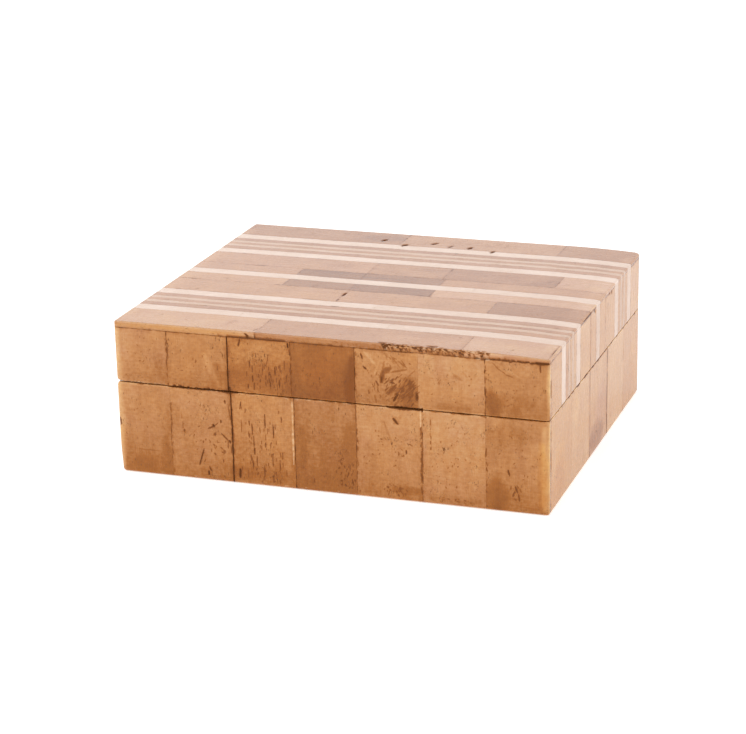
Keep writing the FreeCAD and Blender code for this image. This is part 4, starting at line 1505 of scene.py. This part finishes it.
def bone_piece(node, tiles, finish):
    """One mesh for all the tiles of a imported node."""
    everything, quads, backs = [], [], []
    values = {}
    first = 0
    for tile, gaps, seed in tiles:
        slab, points, tile_values = bone_tile(tile, gaps, seed)
        tile_quads, back = slab.faces(first)
        everything.append(points)
        quads.append(tile_quads)
        backs.append(back)
        for name, part in tile_values.items():
            values.setdefault(name, []).append(part)
        first += len(points)
    piece = solid_mesh(node + "_bone", np.concatenate(everything), np.concatenate(quads), backs)
    for name, parts in values.items():
        joined = np.concatenate(parts).astype(np.float32)
        kind, field = ("FLOAT", "value") if joined.ndim == 1 else ("FLOAT_VECTOR", "vector")
        attribute = piece.data.attributes.new(name, kind, "POINT")
        attribute.data.foreach_set(field, joined.ravel())
    piece.data.materials.append(finish)
    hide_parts(node)
    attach(piece, body_of_node[node])
    return piece


def solid_mesh(name, points, quads, backs):
    """A mesh object from points, smooth four-sided faces and flat faces of many sides."""
    mesh = bpy.data.meshes.new(name)
    corners = np.concatenate([quads.ravel()] + backs)
    sizes = np.concatenate((np.full(len(quads), 4), [len(back) for back in backs]))
    starts = np.concatenate(([0], np.cumsum(sizes)[:-1]))
    mesh.vertices.add(len(points))
    mesh.vertices.foreach_set("co", points.astype(np.float32).ravel())
    mesh.loops.add(len(corners))
    mesh.loops.foreach_set("vertex_index", corners.astype(np.int32))
    mesh.polygons.add(len(sizes))
    mesh.polygons.foreach_set("loop_start", starts.astype(np.int32))
    mesh.polygons.foreach_set("use_smooth", sizes == 4)
    mesh.update(calc_edges=True)
    mesh.validate()
    piece = bpy.data.objects.new(name, mesh)
    bpy.context.scene.collection.objects.link(piece)
    return piece


def dress_nodes(nodes):
    """Builds the bone pieces of the named nodes. The tiles on one side of the base or of the lid
    are fitted to each other."""
    by_body = {}
    for tile in tiles_of(nodes):
        by_body.setdefault((tile.body, tile.side), []).append(tile)
    for tiles in by_body.values():
        chosen = {}
        for tile in tiles:
            gaps = tile.gaps_around([other for other in tiles if other is not tile])
            seed = sum(map(ord, tile.node)) + 17 * tile.number
            chosen.setdefault(tile.node, []).append((tile, gaps, seed))
        for node, listed in chosen.items():
            if listed[0][0].is_bleached:
                finish = finish_of("pale_bone_finish", bleached_bone)
            else:
                finish = finish_of("honey_bone_finish", stained_bone)
            bone_piece(node, listed, finish)


class Finish:
    """A procedural material, with short calls that add its nodes."""

    def __init__(self, name, **settings):
        self.material = bpy.data.materials.new(name)
        self.material.use_nodes = True
        self.tree = self.material.node_tree
        self.shader = self.tree.nodes["Principled BSDF"]
        for socket, value in settings.items():
            self.shader.inputs[socket.replace("_", " ")].default_value = value

    def add(self, kind, inputs, output=0, **settings):
        node = self.tree.nodes.new(kind)
        for name, value in settings.items():
            setattr(node, name, value)
        for socket, value in inputs.items():
            if isinstance(value, bpy.types.NodeSocket):
                self.tree.links.new(value, node.inputs[socket])
            else:
                node.inputs[socket].default_value = value
        return node.outputs[output]

    def attribute(self, name):
        return self.add("ShaderNodeAttribute", {}, "Fac", attribute_name=name)

    def attribute_place(self):
        return self.add("ShaderNodeAttribute", {}, "Vector", attribute_name="place")

    def object_place(self):
        return self.add("ShaderNodeTexCoord", {}, "Object")

    def stretched(self, place, shares):
        return self.add("ShaderNodeVectorMath", {0: place, 1: shares}, operation="MULTIPLY")

    def noise(self, place, lump, detail=2.0, roughness=0.5):
        inputs = {"Vector": place, "Scale": 1 / lump, "Detail": detail, "Roughness": roughness}
        return self.add("ShaderNodeTexNoise", inputs, "Fac")

    def bone_noise(self, name):
        scales, lump, detail, roughness = BONE_NOISES[name]
        place = self.stretched(self.attribute_place(), scales)
        return self.noise(place, lump, detail, roughness)

    def math(self, operation, first, second=0.0, third=0.0):
        return self.add("ShaderNodeMath", {0: first, 1: second, 2: third}, operation=operation)

    def rise(self, value, low, high, bottom=0.0, top=1.0):
        inputs = {"Value": value, "From Min": low, "From Max": high, "To Min": bottom, "To Max": top}
        return self.add("ShaderNodeMapRange", inputs, interpolation_type="SMOOTHSTEP")

    def swing(self, value, share):
        """A noise value, moved to swing about zero by the given share."""
        return self.math("MULTIPLY_ADD", value, 2 * share, -share)

    def total(self, *values):
        whole = values[0]
        for value in values[1:]:
            whole = self.math("ADD", whole, value)
        return whole

    def mix(self, share, first, second, blend="MIX"):
        inputs = {0: share, 6: first, 7: second}
        return self.add(
            "ShaderNodeMix", inputs, 2, data_type="RGBA", blend_type=blend, clamp_factor=True
        )

    def ramp(self, value, stops):
        output = self.add("ShaderNodeValToRGB", {"Fac": value})
        elements = output.node.color_ramp.elements
        elements[0].position, elements[-1].position = stops[0][0], stops[-1][0]
        for position, _ in stops[1:-1]:
            elements.new(position)
        for element, (_, colour) in zip(elements, stops):
            element.color = (*colour, 1)
        return output

    def bump(self, height, distance, strength=1.0):
        normal = self.add(
            "ShaderNodeBump", {"Height": height, "Distance": distance, "Strength": strength}
        )
        self.tree.links.new(normal, self.shader.inputs["Normal"])

    def colour(self, value):
        self.tree.links.new(value, self.shader.inputs["Base Color"])

    def roughness(self, value):
        self.tree.links.new(value, self.shader.inputs["Roughness"])

    def dull_where(self, share):
        """Takes the shine off dirt, which lies in pores and joints."""
        shine = self.math("MULTIPLY_ADD", share, -dirt_dullness, bone_shine)
        self.tree.links.new(shine, self.shader.inputs["Specular IOR Level"])


def finish_of(name, build):
    """The material of that name, built when it is first asked for."""
    return bpy.data.materials.get(name) or build(name)


def solid_colour(colour):
    return (*colour, 1.0)


def bone_detail(finish):
    """What both bone finishes share: their clouds, bands, fibres, mottle and pores."""
    shared = [finish.bone_noise(name) for name in ("clouds", "bands", "fibres", "mottle")]
    porosity = finish.attribute("pores")
    open_share = finish.math("MULTIPLY_ADD", porosity, porosity_gain, porosity_start)
    patches = finish.swing(finish.bone_noise("patches"), patch_swing)
    specks = finish.total(finish.bone_noise("specks"), open_share, patches)
    dashes = finish.total(finish.bone_noise("dashes"), open_share, patches)
    specks = finish.math("MULTIPLY", finish.rise(specks, *SPECK_RISE), speck_strength)
    pores = finish.math("MAXIMUM", specks, finish.rise(dashes, *DASH_RISE))
    return (*shared, pores)


def ragged_dirt(finish):
    """The marks and joints, their soft edges broken up by fine noise."""
    grit = finish.swing(finish.bone_noise("grit"), grit_swing)
    return finish.rise(finish.total(finish.attribute("stain"), grit), *DIRT_RISE)


def soiled_bone(finish, base, dirt, fibres):
    """Colours the bone and sets its roughness: dirt is darker and rougher."""
    finish.colour(finish.mix(dirt, base, solid_colour(colours().stain)))
    fibre_swing = finish.swing(fibres, fibre_roughness_swing)
    added = finish.math("MULTIPLY", dirt, dirt_roughness)
    finish.roughness(finish.total(fibre_swing, added, bone_roughness))


def stained_bone(name):
    """Tea-stained bone: cloudy honey, streaked along its grain, with dark pores and worn edges."""
    palette = colours()
    finish = Finish(name, IOR=bone_ior)
    clouds, bands, fibres, mottle, pores = bone_detail(finish)
    mottle_swing = finish.math(
        "MULTIPLY_ADD", finish.attribute("pores"), porous_mottle_swing, dense_mottle_swing
    )
    stain_halo = finish.rise(finish.attribute("stain"), *STAIN_RISE)
    tone = finish.total(
        finish.attribute("tone"),
        finish.swing(clouds, STAINED_SWINGS["clouds"]),
        finish.swing(bands, STAINED_SWINGS["bands"]),
        finish.math("MULTIPLY", finish.swing(mottle, 1.0), mottle_swing),
        finish.swing(finish.bone_noise("scratches"), STAINED_SWINGS["scratches"]),
        finish.swing(fibres, STAINED_SWINGS["fibres"]),
        finish.math("MULTIPLY", stain_halo, stain_tone),
    )
    browns = (
        palette.tea,
        palette.brown,
        palette.honey,
        palette.light_honey,
        palette.pale_honey,
    )
    base = finish.ramp(tone, list(zip(TONE_STOPS, browns)))
    hue_drift = finish.swing(finish.bone_noise("drifts"), hue_swing)
    hue = finish.total(finish.attribute("hue"), hue_drift)
    mauve = finish.mix(1.0, base, solid_colour(palette.mauve), "MULTIPLY")
    ochre = finish.mix(1.0, base, solid_colour(palette.ochre), "MULTIPLY")
    base = finish.mix(hue, base, mauve)
    base = finish.mix(finish.math("MULTIPLY", hue, -1.0), base, ochre)
    base = finish.mix(finish.attribute("worn"), base, solid_colour(palette.worn))
    dirt = finish.math("MAXIMUM", ragged_dirt(finish), finish.math("MULTIPLY", pores, 0.8))
    soiled_bone(finish, base, dirt, fibres)
    darkness = finish.math("MULTIPLY_ADD", tone, -dullness_lost_per_tone, dark_bone_dullness)
    finish.dull_where(finish.math("MAXIMUM", dirt, darkness))
    height = finish.math("SUBTRACT", finish.math("MULTIPLY", fibres, 0.07), dirt)
    finish.bump(height, bone_bump)
    return finish.material


def bleached_bone(name):
    """Bleached bone: near white, with soft warm clouds and faint streaks."""
    palette = colours()
    finish = Finish(name, IOR=bone_ior)
    clouds, bands, fibres, mottle, pores = bone_detail(finish)
    tone = finish.total(
        finish.attribute("tone"),
        finish.swing(clouds, BLEACHED_SWINGS["clouds"]),
        finish.swing(bands, BLEACHED_SWINGS["bands"]),
        finish.swing(mottle, BLEACHED_SWINGS["mottle"]),
        finish.swing(fibres, BLEACHED_SWINGS["fibres"]),
    )
    stops = ((0.0, palette.bleached_shade), (1.0, palette.bleached))
    base = finish.ramp(tone, stops)
    dirt = finish.math("MAXIMUM", ragged_dirt(finish), finish.math("MULTIPLY", pores, 0.5))
    soiled_bone(finish, base, dirt, fibres)
    finish.dull_where(dirt)
    height = finish.math("SUBTRACT", finish.math("MULTIPLY", fibres, 0.1), pores)
    finish.bump(height, bone_bump)
    return finish.material


def carcass_wood(name):
    """Stained carcass wood, with its grain along each board."""
    palette = colours()
    finish = Finish(name, IOR=1.45)
    place = finish.object_place()
    across = finish.math("ABSOLUTE", finish.add("ShaderNodeSeparateXYZ", {"Vector": place}, "X"))
    on_side_wall = finish.math("GREATER_THAN", across, side_wall_face)
    grain_way = finish.mix(on_side_wall, (0.06, 1.0, 1.0, 1.0), (1.0, 0.06, 1.0, 1.0))
    long_place = finish.stretched(place, grain_way)
    rings = finish.noise(long_place, 2.2 * MM, 4.0, 0.6)
    fibres = finish.noise(long_place, 0.4 * MM, 2.0)
    blotches = finish.noise(place, 26 * MM, 3.0)
    share = finish.total(
        finish.rise(rings, 0.35, 0.68), finish.swing(fibres, 0.3), finish.swing(blotches, 0.25)
    )
    base = finish.ramp(share, ((0.0, palette.wood), (1.0, palette.wood_grain)))
    finish.colour(base)
    finish.roughness(finish.total(finish.swing(fibres, 0.15), 0.5))
    finish.bump(finish.total(fibres, rings), 0.05 * MM)
    return finish.material


def hinge_brass(name):
    """Satin brass with fine scratches and a little tarnish."""
    palette = colours()
    finish = Finish(name, Metallic=1.0)
    place = finish.object_place()
    scratches = finish.noise(finish.stretched(place, (0.05, 1.0, 1.0)), 0.25 * MM, 2.0)
    tarnish = finish.noise(place, 3.5 * MM, 4.0, 0.6)
    worn = tuple(0.55 * part for part in palette.brass)
    finish.colour(finish.ramp(finish.rise(tarnish, 0.4, 0.75), ((0.0, palette.brass), (1.0, worn))))
    finish.roughness(
        finish.total(finish.swing(scratches, 0.1), finish.math("MULTIPLY", tarnish, 0.2), 0.22)
    )
    finish.bump(scratches, 0.01 * MM)
    return finish.material


def felt_cloth(name):
    """Pressed felt: matted short fibres."""
    palette = colours()
    finish = Finish(name, Sheen_Weight=0.35, Sheen_Roughness=0.5)
    place = finish.object_place()
    fluff = finish.noise(place, 0.35 * MM, 4.0, 0.7)
    mats = finish.noise(place, 3 * MM, 3.0)
    patches = finish.noise(place, 25 * MM, 2.0)
    light = tuple(2.2 * part for part in palette.felt)
    share = finish.total(finish.swing(fluff, 0.6), finish.swing(mats, 0.3), patches)
    finish.colour(finish.ramp(share, ((0.1, palette.felt), (1.0, light))))
    finish.roughness(finish.total(finish.swing(fluff, 0.08), 0.9))
    finish.bump(finish.total(fluff, mats), 0.25 * MM)
    return finish.material


def floor_paper():
    """The plain pale floor."""
    settings = stage_settings()
    finish = Finish("floor_paper", Roughness=0.9, Specular_IOR_Level=0.0)
    finish.shader.inputs["Base Color"].default_value = solid_colour(settings.floor_colour)
    finish.shader.inputs["Emission Color"].default_value = (1, 1, 1, 1)
    finish.shader.inputs["Emission Strength"].default_value = settings.floor_glow
    return finish.material


def finish_packed(nodes, material, bevel):
    """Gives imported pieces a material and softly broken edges."""
    for name in nodes:
        node = frame["nodes"][name]
        node.data.materials.clear()
        node.data.materials.append(material)
        weld = node.modifiers.new("Weld", "WELD")
        weld.merge_threshold = near
        soften = node.modifiers.new("Bevel", "BEVEL")
        soften.width = bevel
        soften.segments = 2
        soften.limit_method = "ANGLE"


class BONEBOX_OT_front_tiles(bpy.types.Operator):
    """Build the front tiles of the lid and the base"""

    bl_idname = "bone_box.front_tiles"
    bl_label = "Front Tiles"

    def execute(self, context):
        dress_nodes([node for node in body_of_node if "front_tile" in node])
        return {"FINISHED"}


class BONEBOX_OT_back_tiles(bpy.types.Operator):
    """Build the back tiles of the lid and the base"""

    bl_idname = "bone_box.back_tiles"
    bl_label = "Back Tiles"

    def execute(self, context):
        dress_nodes(["lid_back_tiles", "base_back_tiles"])
        return {"FINISHED"}


class BONEBOX_OT_right_side(bpy.types.Operator):
    """Build the tiles and strips of the right side"""

    bl_idname = "bone_box.right_side"
    bl_label = "Right Side"

    def execute(self, context):
        names = ("base_right_tile", "lid_right_tiles", "lid_right_strips")
        dress_nodes([node for node in body_of_node if node.startswith(names)])
        return {"FINISHED"}


class BONEBOX_OT_left_side(bpy.types.Operator):
    """Build the tiles and strips of the left side"""

    bl_idname = "bone_box.left_side"
    bl_label = "Left Side"

    def execute(self, context):
        dress_nodes(["base_left_tiles", "lid_left_tiles", "lid_left_strips"])
        return {"FINISHED"}


class BONEBOX_OT_top_courses(bpy.types.Operator):
    """Build the rows and strips of the lid's top"""

    bl_idname = "bone_box.top_courses"
    bl_label = "Top Courses"

    def execute(self, context):
        dress_nodes([node for node in body_of_node if node.startswith("top_")])
        return {"FINISHED"}


class BONEBOX_OT_carcass(bpy.types.Operator):
    """Finish the wooden walls and panels"""

    bl_idname = "bone_box.carcass"
    bl_label = "Carcass"

    def execute(self, context):
        boards = [node for node in body_of_node if node.endswith(("_wall", "_panel"))]
        wood = finish_of("carcass_finish", carcass_wood)
        finish_packed(boards, wood, board_edge_loss)
        return {"FINISHED"}


class BONEBOX_OT_hinges(bpy.types.Operator):
    """Finish the brass hinges and their screws"""

    bl_idname = "bone_box.hinges"
    bl_label = "Hinges"

    def execute(self, context):
        parts = [node for node in body_of_node if "hinge" in node]
        brass = finish_of("brass_finish", hinge_brass)
        finish_packed(parts, brass, brass_edge_loss)
        return {"FINISHED"}


class BONEBOX_OT_felt(bpy.types.Operator):
    """Lay the felt in the base and under it"""

    bl_idname = "bone_box.felt"
    bl_label = "Felt"

    def execute(self, context):
        felt_sheet("base_floor_lining")
        felt_sheet("underside_felt")
        return {"FINISHED"}


def rounded_ends(place, start, end, depth, radius):
    """Moves places near two square ends onto rounded ones, and gives their new depths."""
    before = np.minimum(place - start, end - place)
    after, depth = eased(before, depth, radius)
    return place + np.sign((start + end) / 2 - place) * (after - before), depth


def felt_sheet(node):
    """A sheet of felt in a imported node's place, with soft edges and a slightly uneven face."""
    cell = 1.2 * MM
    soft_edge = 0.4 * MM
    unevenness = 0.12 * MM
    low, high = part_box(node)
    offsets = [0.0, 0.4 * soft_edge, soft_edge]
    columns = spaced(low.x, high.x, cell, offsets, offsets)
    rows = spaced(low.y, high.y, cell, offsets, offsets)
    thickness = high.z - low.z
    slab = Slab(columns, rows, [soft_edge, thickness - soft_edge, thickness])
    u, depth = rounded_ends(slab.u, low.x, high.x, slab.depth, soft_edge)
    v, depth = rounded_ends(slab.v, low.y, high.y, depth, soft_edge)
    points = np.column_stack((u, v, high.z - depth))
    uneven = unevenness * (0.5 + 0.5 * drift(points, 5 * MM, 83))
    points[:, 2] -= np.where(depth < thickness / 2, uneven, 0)
    quads, back = slab.faces()
    piece = solid_mesh(node + "_cloth", points, quads, [back])
    piece.data.materials.append(finish_of("felt_cloth", felt_cloth))
    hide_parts(node)
    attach(piece, body_of_node[node])


def camera_frame(settings):
    """The camera's right, up and backward directions."""
    azimuth, elevation, roll = (
        settings.camera_azimuth,
        settings.camera_elevation,
        settings.camera_roll,
    )
    back = Vector(
        (
            math.sin(azimuth) * math.cos(elevation),
            -math.cos(azimuth) * math.cos(elevation),
            math.sin(elevation),
        )
    )
    right = Vector((math.cos(azimuth), math.sin(azimuth), 0))
    up = back.cross(right)
    rolled_right = math.cos(roll) * right + math.sin(roll) * up
    rolled_up = -math.sin(roll) * right + math.cos(roll) * up
    return rolled_right, rolled_up, back


def studio_light(settings):
    """White light all round, softer overhead, and stronger where it is reflected."""
    world = bpy.data.worlds.new("studio")
    world.use_nodes = True
    tree = world.node_tree
    place = tree.nodes.new("ShaderNodeTexCoord")
    split = tree.nodes.new("ShaderNodeSeparateXYZ")
    fade = tree.nodes.new("ShaderNodeMapRange")
    path = tree.nodes.new("ShaderNodeLightPath")
    boost = tree.nodes.new("ShaderNodeMapRange")
    strength = tree.nodes.new("ShaderNodeMath")
    fade.interpolation_type = "SMOOTHSTEP"
    fade.inputs["To Min"].default_value = settings.low_sky_light
    fade.inputs["To Max"].default_value = settings.high_sky_light
    boost.inputs["To Min"].default_value = 1.0
    boost.inputs["To Max"].default_value = settings.gloss_light
    strength.operation = "MULTIPLY"
    links = tree.links
    links.new(place.outputs["Generated"], split.inputs["Vector"])
    links.new(split.outputs["Z"], fade.inputs["Value"])
    links.new(path.outputs["Is Glossy Ray"], boost.inputs["Value"])
    links.new(fade.outputs["Result"], strength.inputs[0])
    links.new(boost.outputs["Result"], strength.inputs[1])
    background = tree.nodes["Background"]
    background.inputs["Color"].default_value = (1, 1, 1, 1)
    links.new(strength.outputs["Value"], background.inputs["Strength"])
    return world


class BONEBOX_OT_stage(bpy.types.Operator):
    """Set up the floor, the light and the camera"""

    bl_idname = "bone_box.stage"
    bl_label = "Stage"

    def execute(self, context):
        settings = stage_settings()
        scene = context.scene
        scene.view_settings.view_transform = "Standard"
        side = settings.floor_size / 2
        mesh = bpy.data.meshes.new("floor")
        mesh.from_pydata(
            [(-side, -side, 0), (side, -side, 0), (side, side, 0), (-side, side, 0)],
            [],
            [(0, 1, 2, 3)],
        )
        floor = bpy.data.objects.new("floor", mesh)
        scene.collection.objects.link(floor)
        mesh.materials.append(floor_paper())
        scene.world = studio_light(settings)
        light = bpy.data.lights.new("soft_lamp", "AREA")
        light.energy = settings.lamp_power
        light.size = settings.lamp_size
        lamp = bpy.data.objects.new("soft_lamp", light)
        lamp.location = settings.lamp_place
        lamp.rotation_euler = (-Vector(settings.lamp_place)).to_track_quat("-Z", "Y").to_euler()
        scene.collection.objects.link(lamp)
        right, up, back = camera_frame(settings)
        middle = Vector((0, 0, top_z / 2))
        offset = settings.camera_offset
        place = middle + back * settings.camera_distance - right * offset[0] - up * offset[1]
        turn = Matrix((right, up, back)).transposed().to_4x4()
        lens = bpy.data.cameras.new("camera")
        lens.lens = settings.camera_lens
        lens.sensor_width = sensor_width
        lens.clip_end = settings.floor_size * 2
        camera = bpy.data.objects.new("camera", lens)
        camera.matrix_world = Matrix.Translation(place) @ turn
        scene.collection.objects.link(camera)
        scene.camera = camera
        return {"FINISHED"}


OPERATORS = (
    BONEBOX_OT_stage,
    BONEBOX_OT_front_tiles,
    BONEBOX_OT_right_side,
    BONEBOX_OT_top_courses,
    BONEBOX_OT_left_side,
    BONEBOX_OT_back_tiles,
    BONEBOX_OT_carcass,
    BONEBOX_OT_hinges,
    BONEBOX_OT_felt,
)
SETTINGS = {
    "bone_box_surface": BoneBoxSurface,
    "bone_box_colours": BoneBoxColours,
    "bone_box_stage": BoneBoxStage,
}


class BONEBOX_PT_panel(bpy.types.Panel):
    """Sizes, colours and steps of the keepsake box"""

    bl_idname = "BONEBOX_PT_panel"
    bl_label = "Bone Box"
    bl_space_type = "VIEW_3D"
    bl_region_type = "UI"
    bl_category = "Bone Box"

    def draw(self, context):
        for name, group in SETTINGS.items():
            box = self.layout.box()
            for setting in group.__annotations__:
                box.prop(getattr(context.scene, name), setting)
        for operator in OPERATORS:
            self.layout.operator(operator.bl_idname)


def register():
    for kind in (*SETTINGS.values(), *OPERATORS, BONEBOX_PT_panel):
        bpy.utils.register_class(kind)
    for name, group in SETTINGS.items():
        setattr(bpy.types.Scene, name, bpy.props.PointerProperty(type=group))


def unregister():
    for name in SETTINGS:
        delattr(bpy.types.Scene, name)
    for kind in (BONEBOX_PT_panel, *reversed(OPERATORS), *reversed(SETTINGS.values())):
        bpy.utils.unregister_class(kind)


def main():
    register()
    for operator in OPERATORS:
        getattr(bpy.ops.bone_box, operator.bl_idname.split(".")[1])()


if __name__ == "__main__":
    main()
